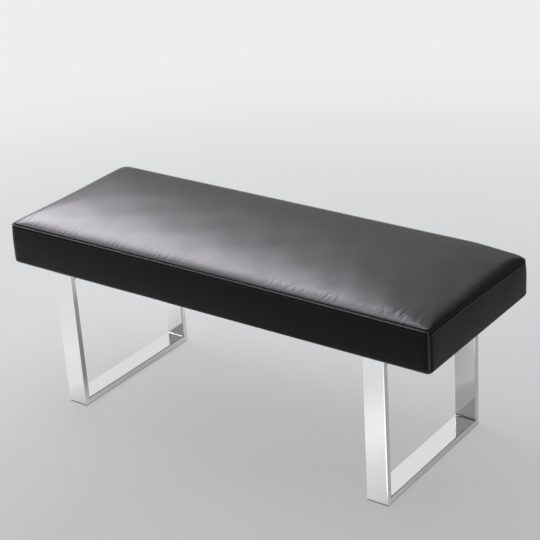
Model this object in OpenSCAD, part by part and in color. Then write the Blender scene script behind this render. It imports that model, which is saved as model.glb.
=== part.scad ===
// Upholstered dining bench: a crowned, leather-look pad on a timber base.
// Two loops of flat chromed tube carry it.
// Sizes are in millimetres. X runs along the bench, Y from front to back and Z up.
// The origin is on the floor, under the middle of the seat.

/* [Seat pad] */
// Length of the pad from end to end
pad_l = 1200; // [1000:10:1500]
// Depth of the pad from front to back
pad_d = 440; // [380:5:520]
// Height of the pad's sides, from the underside to the top seam
side_h = 102; // [88:1:120]
// Rise of the top's soft shoulder above the seam
shoulder_h = 15; // [6:1:22]
// Width of the shoulder, from the seam to where the top levels off
shoulder_w = 34; // [24:1:45]
// Further rise of the top from the shoulder to the middle
swell_h = 5; // [2:1:10]
// Radius of the pad's corners, seen from above
corner_r = 14; // [12:1:25]
// Distance that the top seam is tucked in from the belly of the sides
seam_tuck = 3; // [1:0.5:5]
// Distance that the top seam is drawn in midway between two corners
side_draw = 2; // [0:0.5:4]

/* [Cover and filling] */
// Thickness of the leather-look cover
cover_t = 1.2; // [0.8:0.1:2]
// Width of the cover's hem, measured in from the pad's outline
hem_w = 30; // [25:1:33]
// Thickness of the wadding under the top panel
wadding_t = 6; // [3:0.5:10]
// Thickness of the foam strip round the base
edge_foam_t = 8.4; // [5:0.2:12]
// Thickness of the dust cover under the base
dust_t = 0.6; // [0.4:0.1:1]
// Distance from the pad's outline to the dust cover's edge
dust_inset = 16; // [14:1:20]

/* [Timber base] */
// Thickness of the outer rails
rail_t = 24; // [20:1:30]
// Height of all the rails
rail_h = 44; // [38:1:50]
// Width of the flat rails over the legs
leg_rail_w = 90; // [80:1:110]
// Width of the rail in the middle
centre_rail_w = 44; // [30:1:60]
// Thickness of the plywood deck
deck_t = 9; // [6:1:15]
// Length of the corner blocks' short sides
block_l = 50; // [35:1:55]
// Height of the corner blocks
block_h = 40; // [30:1:43]

/* [Legs] */
// Height of the legs, from the floor to the pad
leg_h = 368; // [320:1:430]
// Distance from the pad's end to the middle of a leg
leg_overhang = 150; // [135:5:250]
// Distance from the pad's front or back to a leg
leg_inset = 12; // [11:1:40]
// Width of the flat tube
tube_w = 56; // [50:1:80]
// Thickness of the flat tube
tube_t = 16; // [12:1:25]
// Wall of the flat tube
tube_wall = 1.5; // [1.2:0.1:2.5]
// Radius of the tube's long edges
tube_edge_r = 2; // [1:0.5:3]
// Radius of the loop's outer corners
loop_corner_r = 4; // [2:0.5:6]
// Radius of the ground weld in the loop's inner corners
weld_r = 4; // [2:0.5:7]

/* [Floor glides] */
// Radius of a glide
glide_r = 10; // [7:0.5:14]
// Height of a glide under the tube
glide_h = 2; // [1:0.5:5]
// Radius of the glide's stem
glide_stem_r = 4; // [3:0.5:5]
// Length of the glide's stem inside the tube
glide_stem_l = 7; // [4:0.5:8]
// Distance from the leg's front or back to the middle of a glide
glide_end = 34; // [25:1:60]

/* [Leg fixings] */
// Radius of the leg bolts
bolt_r = 4; // [3:0.5:5]
// Distance between two bolts across the tube
bolt_gap = 28; // [24:1:30]
// Distance from the leg's front or back to its bolts
bolt_end = 58; // [56:1:90]
// Radius of the bolt's head
head_r = 7; // [6.5:0.5:8]
// Height of the bolt's head
head_h = 4.4; // [3:0.2:6]
// Radius of the key socket in the bolt's head, to its corners
socket_r = 2.9; // [2:0.1:3.5]
// Depth of the key socket
socket_depth = 2.6; // [1:0.1:2.8]
// Radius of the flat washers
washer_r = 8; // [7:0.5:9]
// Thickness of the flat washers
washer_t = 1.6; // [1:0.1:2.5]
// Radius of the spring washers
spring_washer_r = 7.2; // [6.4:0.2:8]
// Thickness of the spring washers
spring_washer_t = 2; // [1.5:0.1:3]
// Width of the spring washers' split
split_w = 1.2; // [0.6:0.1:2]
// Radius of the tee nuts' flange
nut_flange_r = 11; // [10:0.5:12]
// Thickness of the tee nuts' flange
nut_flange_t = 1.6; // [1.2:0.1:2]
// Wall of the tee nuts' barrel
nut_wall = 1.4; // [1:0.1:2]
// Length of the tee nuts' barrel
nut_barrel_l = 11; // [8:1:20]
// Length of the tee nuts' prongs
prong_l = 6; // [4:0.5:8]
// Width of the tee nuts' prongs
prong_w = 3; // [2:0.5:4]
// Thickness of the tee nuts' prongs
prong_t = 1.2; // [0.8:0.1:1.6]
// Distance of the prongs from the flange's rim
prong_in = 1; // [0.5:0.1:1.5]

/* [Screws and staples] */
// Radius of the deck screws
deck_screw_r = 2; // [1.5:0.25:2.5]
// Length of the deck screws
deck_screw_l = 38; // [30:1:42]
// Radius of the frame screws
frame_screw_r = 2.5; // [2:0.25:3]
// Length of the frame screws
frame_screw_l = 50; // [42:1:52]
// Distance between the two frame screws of a joint
frame_screw_gap = 20; // [16:1:24]
// Distance between staples along the underside
staple_pitch = 75; // [50:5:120]
// Distance from the pad's outline to the row of staples
staple_inset = 22; // [21.5:0.1:23.5]
// Width of a staple's crown
staple_w = 10; // [8:1:13]
// Thickness of the staple wire
staple_wire = 0.7; // [0.5:0.1:1]
// Length of a staple's legs
staple_l = 8; // [6:0.5:9]

/* [Hidden] */
$fn = 48;

// Clearances
// Between two soft layers, and between a soft layer and what it covers
layer_gap = 0.2;
// Round a screw or a staple's leg in its hole
screw_fit = 0.05;
// Round a bolt in the tube, the rail and its washers
bolt_clearance = 0.5;
// Round a bolt in the thread of its nut
thread_fit = 0.05;
// Round a tee nut in its recess
recess_gap = 0.2;
// Between a bolt's tip and the deck
tip_gap = 0.4;
// Round a glide's stem in the tube
stem_fit = 0.05;
// Between a staple and the side of a leg
staple_clear = 8;
// Extra length of a cutting shape beyond the face that it cuts
cut_over = 1;
// Smallest radius of a rounded edge
least_edge_r = 0.25;
// Depth of the welds' roots in the tubes' walls
weld_root = 0.5;
// Between the ring of the soft top and the pad's middle line
mid_gap = 1;

// Heights
hem_z = leg_h + dust_t;
frame_z = hem_z + cover_t;
frame_top_z = frame_z + rail_h;
deck_top_z = frame_top_z + deck_t;
seam_z = leg_h + side_h;
belly_z = leg_h + side_h / 2;

// Plan sizes
frame_inset = cover_t + edge_foam_t + 2 * layer_gap;
frame_l = pad_l - 2 * frame_inset;
frame_d = pad_d - 2 * frame_inset;
frame_corner_r = max(corner_r - frame_inset, least_edge_r);
leg_x = pad_l / 2 - leg_overhang;
leg_d = pad_d - 2 * leg_inset;
bolt_y = leg_d / 2 - bolt_end;
glide_y = leg_d / 2 - glide_end;
inner_l = frame_l - 2 * rail_t;
inner_d = frame_d - 2 * rail_t;

// Steps of the soft forms
arc_steps = 3;
long_steps = 8;
short_steps = 4;
shoulder_steps = 4;
crown_steps = 8;
edge_steps = 3;
side_steps = 4;
// Smallest radius that a soft outline keeps in its corners
least_r = 2;
// Part of the half depth that the crown's innermost ring reaches
crown_reach = 0.92;
// How much closer together the crown's rings lie near the shoulder
crown_spread = 1.3;
// Power of the swell's curve from the seam to the middle
swell_power = 3;
// Growth of the crown's corner radius with the distance from the seam
crown_round = 0.6;
// Distance from the seam at which the top no longer follows the drawn-in sides
draw_fade = 80;

// Colours
leather_black = [0.09, 0.09, 0.1];
foam_cream = [0.93, 0.88, 0.72];
wadding_white = [0.92, 0.92, 0.9];
timber = [0.82, 0.68, 0.48];
plywood = [0.76, 0.6, 0.42];
cloth_black = [0.06, 0.06, 0.06];
chrome = [0.82, 0.83, 0.85];
zinc = [0.7, 0.71, 0.72];
glide_grey = [0.25, 0.25, 0.26];

// The soft outline

// Height of ring j of the cover's sides, from the end of the lower edge's arc to the top panel
arc_top_z = hem_z + frame_inset;
function side_z(j) = arc_top_z + (seam_z - cover_t - arc_top_z) * j / side_steps;

// Tuck of the cover's side at height z, straight from ring to ring
function tuck_at(z) =
    lookup(z, [for (j = [0 : side_steps])
        [side_z(j), seam_tuck * pow(max(0, (side_z(j) - belly_z) / (seam_z - belly_z)), 2)]]);

// Draw of the sides between the corners at height z, straight from ring to ring
function draw_at(z) =
    lookup(z, [for (j = [0 : side_steps]) [side_z(j), side_draw * pow((side_z(j) - leg_h) / side_h, 2)]]);

// Draw between the corners on the top, at distance d from the seam
function top_draw(d) = side_draw * pow(max(0, 1 - d / draw_fade), 2);

// Half depth of the top inside its seam
half_top = pad_d / 2 - seam_tuck;

// Distance of the crown's ring i from the seam: evenly round the shoulder, then wider apart
function ring_d(i) =
    i <= shoulder_steps
        ? shoulder_w * (1 - cos(90 * i / shoulder_steps))
        : shoulder_w + (half_top * crown_reach - shoulder_w)
            * pow((i - shoulder_steps) / (crown_steps - shoulder_steps), crown_spread);

// Rise of the top's curve at distance d from the seam: a quarter ellipse for the shoulder, and the swell
function rise(d) =
    shoulder_h * sqrt(1 - pow(max(0, 1 - d / shoulder_w), 2))
    + swell_h * (1 - pow(max(0, 1 - d / half_top), swell_power));

// Height of the crowned top at distance d from the seam, straight from ring to ring
function crown_at(d) = seam_z + lookup(d, [for (i = [0 : crown_steps]) [ring_d(i), rise(ring_d(i))]]);

// Turns a point of side k, given along the side and outward, into the plan
function on_side(k, s, o) = k == 0 ? [s, -o] : k == 1 ? [o, s] : k == 2 ? [-s, o] : [-o, -s];

// Points of side k from corner to corner, inset by e, with corner radius r and drawn in by w in the middle
function side_points(k, e, r, w) =
    let (a = (k % 2 == 0 ? pad_l : pad_d) / 2 - e - r)
    let (b = (k % 2 == 0 ? pad_d : pad_l) / 2 - e - r)
    let (n = k % 2 == 0 ? long_steps : short_steps)
    concat(
        [for (j = [0 : arc_steps]) let (t = 45 + 45 * j / arc_steps)
            on_side(k, -a - r * cos(t), b + r * sin(t))],
        [for (j = [1 : n - 1]) let (u = j / n) on_side(k, a * (2 * u - 1), b + r - w * 4 * u * (1 - u))],
        [for (j = [0 : arc_steps]) let (t = 90 - 45 * j / arc_steps)
            on_side(k, a + r * cos(t), b + r * sin(t))]);

// Every side's points but its last, as one ring at height z
function ring_points(e, r, w, z) =
    [for (k = [0 : 3]) let (p = side_points(k, e, r, w)) for (j = [0 : len(p) - 2]) [p[j].x, p[j].y, z]];

// Ring of the pad's side at height z, moved in by t
function side_ring(z, t) =
    let (e = tuck_at(z) + t)
    ring_points(e, max(corner_r - e, least_r), draw_at(z), z);

// Ring of the crown at distance d from the seam, lowered by t
function crown_ring(d, t) =
    let (e = seam_tuck + d)
    let (r = min(corner_r - seam_tuck + crown_round * d, pad_d / 2 - e - mid_gap))
    ring_points(e, r, top_draw(d), crown_at(d) - t);

// Closed solid through rings of equal length, with a point in the middle of its first and last ring
module loft(rings) {
    n = len(rings[0]);
    m = len(rings);
    points = concat([for (r = rings) each r], [[0, 0, rings[0][0].z], [0, 0, rings[m - 1][0].z]]);
    first = n * m;
    walls = [for (k = [0 : m - 2]) for (i = [0 : n - 1]) let (j = (i + 1) % n)
        each [[k * n + i, (k + 1) * n + i, (k + 1) * n + j], [k * n + i, (k + 1) * n + j, k * n + j]]];
    floor_cap = [for (i = [0 : n - 1]) [first, i, (i + 1) % n]];
    roof_cap = [for (i = [0 : n - 1]) [(m - 1) * n + i, first + 1, (m - 1) * n + (i + 1) % n]];
    polyhedron(points, concat(walls, floor_cap, roof_cap));
}

// Closed hoop through rings of equal length, where the last ring joins the first
module hoop(rings) {
    n = len(rings[0]);
    m = len(rings);
    walls = [for (k = [0 : m - 1]) for (i = [0 : n - 1]) let (q = (k + 1) % m) let (j = (i + 1) % n)
        each [[k * n + i, q * n + i, q * n + j], [k * n + i, q * n + j, k * n + j]]];
    polyhedron([for (r = rings) each r], walls);
}

// Closed strip between an outer and an inner surface, each given as rows of points
module strip(outer, inner) {
    m = len(outer);
    n = len(outer[0]);
    rows = concat(outer, [for (k = [m - 1 : -1 : 0]) inner[k]]);
    c = len(rows);
    walls = [for (k = [0 : c - 1]) for (i = [0 : n - 2]) let (q = (k + 1) % c)
        each [[k * n + i, q * n + i, q * n + i + 1], [k * n + i, q * n + i + 1, k * n + i + 1]]];
    start_cap = [for (k = [0 : m - 2]) let (i0 = (c - 1 - k) * n) let (i1 = (c - 2 - k) * n)
        each [[i0, i1, (k + 1) * n], [i0, (k + 1) * n, k * n]]];
    end_cap = [for (f = start_cap) [f[0] + n - 1, f[2] + n - 1, f[1] + n - 1]];
    polyhedron([for (r = rows) each r], concat(walls, start_cap, end_cap));
}

// Crowned layer whose edge is inset by d0 from the seam, between two drops below the cover's outside
module crowned_layer(d0, upper_drop, lower_drop) {
    steps = [d0, for (i = [1 : crown_steps]) ring_d(i)];
    loft(concat(
        [for (i = [crown_steps : -1 : 0]) crown_ring(steps[i], lower_drop)],
        [for (i = [0 : crown_steps]) crown_ring(steps[i], upper_drop)]));
}

// Rows of the cover's side k, from the hem's edge round the lower edge to the seam, moved in by t
function cover_rows(k, t) =
    let (arc_r = frame_inset - t)
    let (flat = [[hem_w, hem_z + t, 0]])
    let (lower = [for (j = [0 : edge_steps]) let (a = 90 * j / edge_steps)
        [frame_inset - arc_r * sin(a), hem_z + frame_inset - arc_r * cos(a), 0]])
    let (upper = [for (j = [1 : side_steps]) [tuck_at(side_z(j)) + t, side_z(j), draw_at(side_z(j))]])
    [for (q = concat(flat, lower, upper))
        [for (p = side_points(k, q[0], max(corner_r - q[0], least_r), q[2])) [p.x, p.y, q[1]]]];

// One side of the cover with its hem turned under the base
module cover_side(k) {
    color(leather_black)
        difference() {
            strip(cover_rows(k, 0), cover_rows(k, cover_t));
            staple_legs(screw_fit);
        }
}

// Soft parts

module cover_top_panel() {
    color(leather_black) crowned_layer(0, 0, cover_t);
}

module cover_front_panel() {
    cover_side(0);
}

module cover_right_panel() {
    cover_side(1);
}

module cover_rear_panel() {
    cover_side(2);
}

module cover_left_panel() {
    cover_side(3);
}

module wadding() {
    drop = cover_t + layer_gap;
    color(wadding_white) crowned_layer(cover_t + layer_gap, drop, drop + wadding_t);
}

module seat_foam() {
    t = cover_t + layer_gap;
    drop = t + wadding_t + layer_gap;
    z0 = deck_top_z + layer_gap;
    z1 = seam_z - drop;
    steps = [t, for (i = [1 : crown_steps]) ring_d(i)];
    color(foam_cream)
        loft(concat(
            [for (j = [0 : side_steps - 1]) side_ring(z0 + (z1 - z0) * j / side_steps, t)],
            [for (i = [0 : crown_steps]) crown_ring(steps[i], drop)]));
}

// Foam strip round the base, rounded under where the cover turns in
module edge_foam() {
    t = cover_t + layer_gap;
    arc_r = frame_inset - t;
    inner_e = frame_inset - layer_gap;
    inner_r = max(corner_r - inner_e, least_r);
    first = ring_points(inner_e, inner_r, 0, hem_z + t);
    lower = [for (j = [1 : edge_steps - 1])
        let (a = 90 * j / edge_steps)
        let (e = frame_inset - arc_r * sin(a))
        ring_points(e, max(corner_r - e, least_r), 0, hem_z + frame_inset - arc_r * cos(a))];
    upper = [for (j = [0 : side_steps]) side_ring(arc_top_z + (deck_top_z - arc_top_z) * j / side_steps, t)];
    last = ring_points(inner_e, inner_r, 0, deck_top_z);
    color(foam_cream) hoop(concat([first], lower, upper, [last]));
}

module dust_cover() {
    color(cloth_black)
        difference() {
            translate([dust_inset - pad_l / 2, dust_inset - pad_d / 2, leg_h])
                cube([pad_l - 2 * dust_inset, pad_d - 2 * dust_inset, dust_t]);
            bolt_holes(leg_h - cut_over, dust_t + 2 * cut_over);
            staple_legs(screw_fit);
        }
}

// Timber base

// Rectangle with round corners, made of squares and circles so that its arcs stay true
module round_rect(l, d, r) {
    square([l - 2 * r, d], center = true);
    square([l, d - 2 * r], center = true);
    for (x = [-1, 1], y = [-1, 1])
        translate([x * (l / 2 - r), y * (d / 2 - r)]) circle(r);
}

// A rail of the base, cut by its fixings and by the base's rounded outline
module frame_rail(x0, y0, l, d) {
    color(timber)
        difference() {
            intersection() {
                translate([x0, y0, frame_z]) cube([l, d, rail_h]);
                translate([0, 0, frame_z - cut_over])
                    linear_extrude(rail_h + 2 * cut_over) round_rect(frame_l, frame_d, frame_corner_r);
            }
            children();
        }
}

module long_rail(side) {
    frame_rail(-frame_l / 2, side > 0 ? frame_d / 2 - rail_t : -frame_d / 2, frame_l, rail_t) {
        side_screws(side, screw_fit);
        deck_screw_set(side, screw_fit);
        staple_legs(screw_fit);
    }
}

module frame_front_rail() {
    long_rail(-1);
}

module frame_rear_rail() {
    long_rail(1);
}

module end_rail(side) {
    frame_rail(side > 0 ? frame_l / 2 - rail_t : -frame_l / 2, -inner_d / 2, rail_t, inner_d) {
        side_screws(-1, screw_fit);
        side_screws(1, screw_fit);
        staple_legs(screw_fit);
    }
}

module frame_left_end_rail() {
    end_rail(-1);
}

module frame_right_end_rail() {
    end_rail(1);
}

module leg_rail(x) {
    frame_rail(x - leg_rail_w / 2, -inner_d / 2, leg_rail_w, inner_d) {
        side_screws(-1, screw_fit);
        side_screws(1, screw_fit);
        bolt_holes(frame_z - cut_over, rail_h + 2 * cut_over);
        for_bolts(x) nut_recess();
    }
}

module frame_left_leg_rail() {
    leg_rail(-leg_x);
}

module frame_right_leg_rail() {
    leg_rail(leg_x);
}

module frame_centre_rail() {
    frame_rail(-centre_rail_w / 2, -inner_d / 2, centre_rail_w, inner_d) {
        side_screws(-1, screw_fit);
        side_screws(1, screw_fit);
    }
}

module corner_blocks() {
    color(timber)
        for (x = [-1, 1], y = [-1, 1])
            translate([x * inner_l / 2, y * inner_d / 2, frame_z])
                linear_extrude(block_h) polygon([[0, 0], [-x * block_l, 0], [0, -y * block_l]]);
}

module seat_deck() {
    color(plywood)
        difference() {
            translate([0, 0, frame_top_z])
                linear_extrude(deck_t) round_rect(frame_l, frame_d, frame_corner_r);
            deck_screw_set(-1, screw_fit);
            deck_screw_set(1, screw_fit);
        }
}

// Screws and staples

// Countersunk screw of radius r and length l that points down from the face at z = 0, with a fit round it
module screw(r, l, fit) {
    head = 2 * r;
    rotate_extrude()
        polygon([[0, 0], [head + fit, 0], [head + fit, -fit], [r + fit, -r - fit], [r + fit, -l + r],
                 [fit, -l - fit], [0, -l - fit]]);
}

// Distances of the deck screws from the middle of the base: two in each long bay and one in each end bay
bay_0 = centre_rail_w / 2;
bay_1 = leg_x - leg_rail_w / 2;
bay_2 = leg_x + leg_rail_w / 2;
deck_screw_x = [bay_0 + (bay_1 - bay_0) / 3, bay_0 + (bay_1 - bay_0) * 2 / 3, (bay_2 + inner_l / 2) / 2];

module deck_screw_set(side, fit) {
    for (x = deck_screw_x, m = [-1, 1])
        translate([m * x, side * (frame_d - rail_t) / 2, deck_top_z]) screw(deck_screw_r, deck_screw_l, fit);
}

module deck_screws() {
    color(zinc) {
        deck_screw_set(-1, 0);
        deck_screw_set(1, 0);
    }
}

// Middles of the joints with the rails that run from front to back, the end ones clear of the base's corners
end_joint_x = frame_l / 2 - frame_corner_r - 2 * frame_screw_r;
cross_x = [-end_joint_x, -leg_x, 0, leg_x, end_joint_x];

// Screws through one long rail into the ends of the other rails
module side_screws(side, fit) {
    for (x = cross_x, m = [-1, 1])
        translate([x, side * frame_d / 2, frame_z + rail_h / 2 + m * frame_screw_gap / 2])
            rotate([-side * 90, 0, 0]) screw(frame_screw_r, frame_screw_l, fit);
}

module frame_screws() {
    color(zinc) {
        side_screws(-1, 0);
        side_screws(1, 0);
    }
}

// Middles of a row of staples from a to b, no further apart than the pitch
function staple_row(a, b) =
    let (n = max(1, ceil((b - a) / staple_pitch)))
    [for (i = [0 : n]) a + (b - a) * i / n];

// Stretches of the long sides that the legs leave free
staple_end = corner_r + staple_pitch / 2;
leg_clear = tube_w / 2 + staple_w / 2 + staple_clear;
long_staples = concat(
    staple_row(staple_end - pad_l / 2, -leg_x - leg_clear),
    staple_row(-leg_x + leg_clear, leg_x - leg_clear),
    staple_row(leg_x + leg_clear, pad_l / 2 - staple_end));
short_staples = staple_row(staple_end - pad_d / 2, pad_d / 2 - staple_end);

// Places its children at every staple, with the staple's crown along X
module for_staples() {
    for (x = long_staples, m = [-1, 1])
        translate([x, m * (pad_d / 2 - staple_inset), leg_h]) children();
    for (y = short_staples, m = [-1, 1])
        translate([m * (pad_l / 2 - staple_inset), y, leg_h]) rotate([0, 0, 90]) children();
}

module staple_leg_pair(fit) {
    w = staple_wire + 2 * fit;
    for (m = [-1, 1])
        translate([m * (staple_w - staple_wire) / 2 - w / 2, -w / 2, 0]) cube([w, w, staple_l + fit]);
}

module staple_legs(fit) {
    for_staples() staple_leg_pair(fit);
}

module staples() {
    color(zinc)
        for_staples() {
            staple_leg_pair(0);
            translate([-staple_w / 2, -staple_wire / 2, -staple_wire])
                cube([staple_w, staple_wire, staple_wire]);
        }
}

// Legs

// Full section of the tube, or its hollow when the wall is taken off
module tube_section(less) {
    r = max(tube_edge_r - less, least_edge_r);
    round_rect(tube_w - 2 * less, tube_t - 2 * less, r);
}

// Outline of the loop seen from the bench's end, or of its hollow when the wall is taken off
module loop_outline(less) {
    h = leg_h - glide_h;
    r = max(loop_corner_r - less, least_edge_r);
    translate([0, glide_h + h / 2]) round_rect(leg_d - 2 * less, h - 2 * less, r);
}

// Prism along X over an outline drawn in Y and Z, through the whole tube
module across(w) {
    rotate([90, 0, 90]) translate([0, 0, -w / 2]) linear_extrude(w) children();
}

// Ground welds in the loop's four inner corners
module corner_welds() {
    window_l = leg_d - 2 * tube_t;
    window_h = leg_h - glide_h - 2 * tube_t;
    across(tube_w - 2 * tube_edge_r)
        translate([0, glide_h + tube_t + window_h / 2])
            difference() {
                square([window_l + 2 * weld_root, window_h + 2 * weld_root], center = true);
                round_rect(window_l, window_h, weld_r);
            }
}

// Tube of the loop between its two mitres: the bar with its share of the welds, less its hollow
module mitred_tube(x, corners) {
    translate([x, 0, 0])
        intersection() {
            difference() {
                union() {
                    intersection() {
                        children(0);
                        across(tube_w + 2 * cut_over) loop_outline(0);
                    }
                    corner_welds();
                }
                intersection() {
                    children(1);
                    across(tube_w + 2 * cut_over) loop_outline(tube_wall);
                }
            }
            across(tube_w + 2 * cut_over) polygon(corners);
        }
}

// Depth of the mitre planes, past the inner faces to the end of the welds
mitre = tube_t + weld_r;

module post(x, side) {
    y0 = side * leg_d / 2;
    y1 = side * (leg_d / 2 - mitre);
    y_mid = side * (leg_d - tube_t) / 2;
    h = leg_h - glide_h;
    color(chrome)
        mitred_tube(x, [[y0, glide_h], [y1, glide_h + mitre], [y1, leg_h - mitre], [y0, leg_h]]) {
            translate([0, y_mid, glide_h]) linear_extrude(h) tube_section(0);
            translate([0, y_mid, glide_h]) linear_extrude(h) tube_section(tube_wall);
        }
}

// Rail of the loop with its outer face at z, its inside upward or downward
module loop_rail(x, z, up) {
    y0 = leg_d / 2;
    y1 = y0 - mitre;
    z_mid = z + up * tube_t / 2;
    color(chrome)
        mitred_tube(x, [[-y0, z], [y0, z], [y1, z + up * mitre], [-y1, z + up * mitre]]) {
            translate([0, y0, z_mid]) rotate([90, 0, 0]) linear_extrude(leg_d) tube_section(0);
            translate([0, y0, z_mid]) rotate([90, 0, 0]) linear_extrude(leg_d) tube_section(tube_wall);
        }
}

module floor_rail(x) {
    difference() {
        loop_rail(x, glide_h, 1);
        for (m = [-1, 1])
            translate([x, m * glide_y, glide_h - cut_over])
                cylinder(h = tube_wall + 2 * cut_over, r = glide_stem_r + stem_fit);
    }
}

module top_rail(x) {
    difference() {
        loop_rail(x, leg_h, -1);
        bolt_holes(leg_h - tube_t - cut_over, tube_t + 2 * cut_over);
    }
}

module left_front_post() {
    post(-leg_x, -1);
}

module left_rear_post() {
    post(-leg_x, 1);
}

module left_floor_rail() {
    floor_rail(-leg_x);
}

module left_top_rail() {
    top_rail(-leg_x);
}

module right_front_post() {
    post(leg_x, -1);
}

module right_rear_post() {
    post(leg_x, 1);
}

module right_floor_rail() {
    floor_rail(leg_x);
}

module right_top_rail() {
    top_rail(leg_x);
}

// Glides with a rounded sole and a stem that presses into the tube
module floor_glides(x) {
    edge = glide_h / 4;
    color(glide_grey)
        for (m = [-1, 1])
            translate([x, m * glide_y, 0])
                rotate_extrude()
                    polygon([[0, 0], [glide_r - edge, 0], [glide_r, edge], [glide_r, glide_h],
                             [glide_stem_r, glide_h], [glide_stem_r, glide_h + glide_stem_l],
                             [0, glide_h + glide_stem_l]]);
}

module left_floor_glides() {
    floor_glides(-leg_x);
}

module right_floor_glides() {
    floor_glides(leg_x);
}

// Leg fixings

// Places its children at the four bolts of the leg at x
module for_bolts(x) {
    for (m = [-1, 1], n = [-1, 1])
        translate([x + m * bolt_gap / 2, n * bolt_y, 0]) children();
}

// Clearance holes for every leg bolt, from z upward
module bolt_holes(z, h) {
    for (s = [-1, 1])
        for_bolts(s * leg_x) translate([0, 0, z]) cylinder(h = h, r = bolt_r + bolt_clearance);
}

washer_z = leg_h - tube_t - washer_t;
spring_z = washer_z - spring_washer_t;
nut_z = frame_top_z - recess_gap;

module leg_bolts(x) {
    dome = head_h / 4;
    color(zinc)
        for_bolts(x)
            difference() {
                rotate_extrude()
                    polygon([[0, spring_z - head_h], [head_r - 2 * dome, spring_z - head_h],
                             [head_r - dome / 2, spring_z - head_h + dome], [head_r, spring_z - 2 * dome],
                             [head_r, spring_z], [bolt_r, spring_z], [bolt_r, frame_top_z - tip_gap - dome],
                             [bolt_r - dome, frame_top_z - tip_gap], [0, frame_top_z - tip_gap]]);
                translate([0, 0, spring_z - head_h - cut_over])
                    cylinder(h = socket_depth + cut_over, r = socket_r, $fn = 6);
            }
}

module left_leg_bolts() {
    leg_bolts(-leg_x);
}

module right_leg_bolts() {
    leg_bolts(leg_x);
}

// Ring of height h whose hole clears the bolt
module bolt_ring(z, h, r) {
    translate([0, 0, z])
        difference() {
            cylinder(h = h, r = r);
            translate([0, 0, -cut_over]) cylinder(h = h + 2 * cut_over, r = bolt_r + bolt_clearance / 2);
        }
}

module washers(x) {
    color(zinc) for_bolts(x) bolt_ring(washer_z, washer_t, washer_r);
}

module left_washers() {
    washers(-leg_x);
}

module right_washers() {
    washers(leg_x);
}

module spring_washers(x) {
    color(zinc)
        for_bolts(x)
            difference() {
                bolt_ring(spring_z, spring_washer_t, spring_washer_r);
                translate([0, -split_w / 2, spring_z - cut_over])
                    cube([spring_washer_r + cut_over, split_w, spring_washer_t + 2 * cut_over]);
            }
}

module left_spring_washers() {
    spring_washers(-leg_x);
}

module right_spring_washers() {
    spring_washers(leg_x);
}

// Four prongs under a tee nut's flange, with a fit round them
module prongs(fit) {
    x = nut_flange_r - prong_in - prong_t - fit;
    z = nut_z - nut_flange_t - prong_l - fit;
    for (a = [45 : 90 : 315])
        rotate([0, 0, a])
            translate([x, -prong_w / 2 - fit, z]) cube([prong_t + 2 * fit, prong_w + 2 * fit, prong_l + fit]);
}

// Room in the rail for a tee nut
module nut_recess() {
    translate([0, 0, nut_z - nut_flange_t])
        cylinder(h = nut_flange_t + cut_over, r = nut_flange_r + recess_gap);
    translate([0, 0, nut_z - nut_flange_t - nut_barrel_l - recess_gap])
        cylinder(h = nut_barrel_l + cut_over, r = bolt_r + nut_wall + recess_gap);
    prongs(screw_fit);
}

module tee_nuts(x) {
    color(zinc)
        for_bolts(x) {
            difference() {
                union() {
                    translate([0, 0, nut_z - nut_flange_t]) cylinder(h = nut_flange_t, r = nut_flange_r);
                    translate([0, 0, nut_z - nut_flange_t - nut_barrel_l])
                        cylinder(h = nut_barrel_l + nut_flange_t / 2, r = bolt_r + nut_wall);
                }
                translate([0, 0, nut_z - nut_flange_t - nut_barrel_l - cut_over])
                    cylinder(h = nut_barrel_l + nut_flange_t + 2 * cut_over, r = bolt_r + thread_fit);
            }
            prongs(0);
        }
}

module left_tee_nuts() {
    tee_nuts(-leg_x);
}

module right_tee_nuts() {
    tee_nuts(leg_x);
}

cover_top_panel();
cover_front_panel();
cover_rear_panel();
cover_left_panel();
cover_right_panel();
wadding();
seat_foam();
edge_foam();
seat_deck();
frame_front_rail();
frame_rear_rail();
frame_left_end_rail();
frame_right_end_rail();
frame_left_leg_rail();
frame_right_leg_rail();
frame_centre_rail();
corner_blocks();
deck_screws();
frame_screws();
dust_cover();
staples();
left_front_post();
left_rear_post();
left_floor_rail();
left_top_rail();
right_front_post();
right_rear_post();
right_floor_rail();
right_top_rail();
left_floor_glides();
right_floor_glides();
left_leg_bolts();
right_leg_bolts();
left_washers();
right_washers();
left_spring_washers();
right_spring_washers();
left_tee_nuts();
right_tee_nuts();
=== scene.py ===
"""Dining bench: a padded seat in a black leather-look cover on two chromed loop legs.

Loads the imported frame, makes the cover with its seams, gathers and stitching, fills it, dresses the
legs, the timber base and the fixings, and sets the floor, the lights and the camera. All sizes are in metres.
"""
import logging
import math
from dataclasses import dataclass
from enum import Enum

import bpy
import numpy as np
from mathutils import Matrix, Vector


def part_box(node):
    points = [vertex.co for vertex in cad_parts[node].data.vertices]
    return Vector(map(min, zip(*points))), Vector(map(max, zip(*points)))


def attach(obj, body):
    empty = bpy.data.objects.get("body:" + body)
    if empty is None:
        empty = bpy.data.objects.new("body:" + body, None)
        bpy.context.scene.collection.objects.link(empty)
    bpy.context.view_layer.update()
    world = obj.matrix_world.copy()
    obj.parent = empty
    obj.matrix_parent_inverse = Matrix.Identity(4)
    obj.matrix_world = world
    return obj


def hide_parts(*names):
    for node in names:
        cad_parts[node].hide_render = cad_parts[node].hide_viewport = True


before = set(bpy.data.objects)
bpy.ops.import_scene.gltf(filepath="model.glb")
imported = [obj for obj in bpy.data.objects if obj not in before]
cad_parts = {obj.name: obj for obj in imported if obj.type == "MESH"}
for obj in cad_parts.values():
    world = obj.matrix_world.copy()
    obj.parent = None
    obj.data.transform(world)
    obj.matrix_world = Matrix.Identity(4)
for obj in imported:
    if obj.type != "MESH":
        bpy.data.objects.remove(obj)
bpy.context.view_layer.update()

MM = 0.001
BODY = "root"
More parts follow.
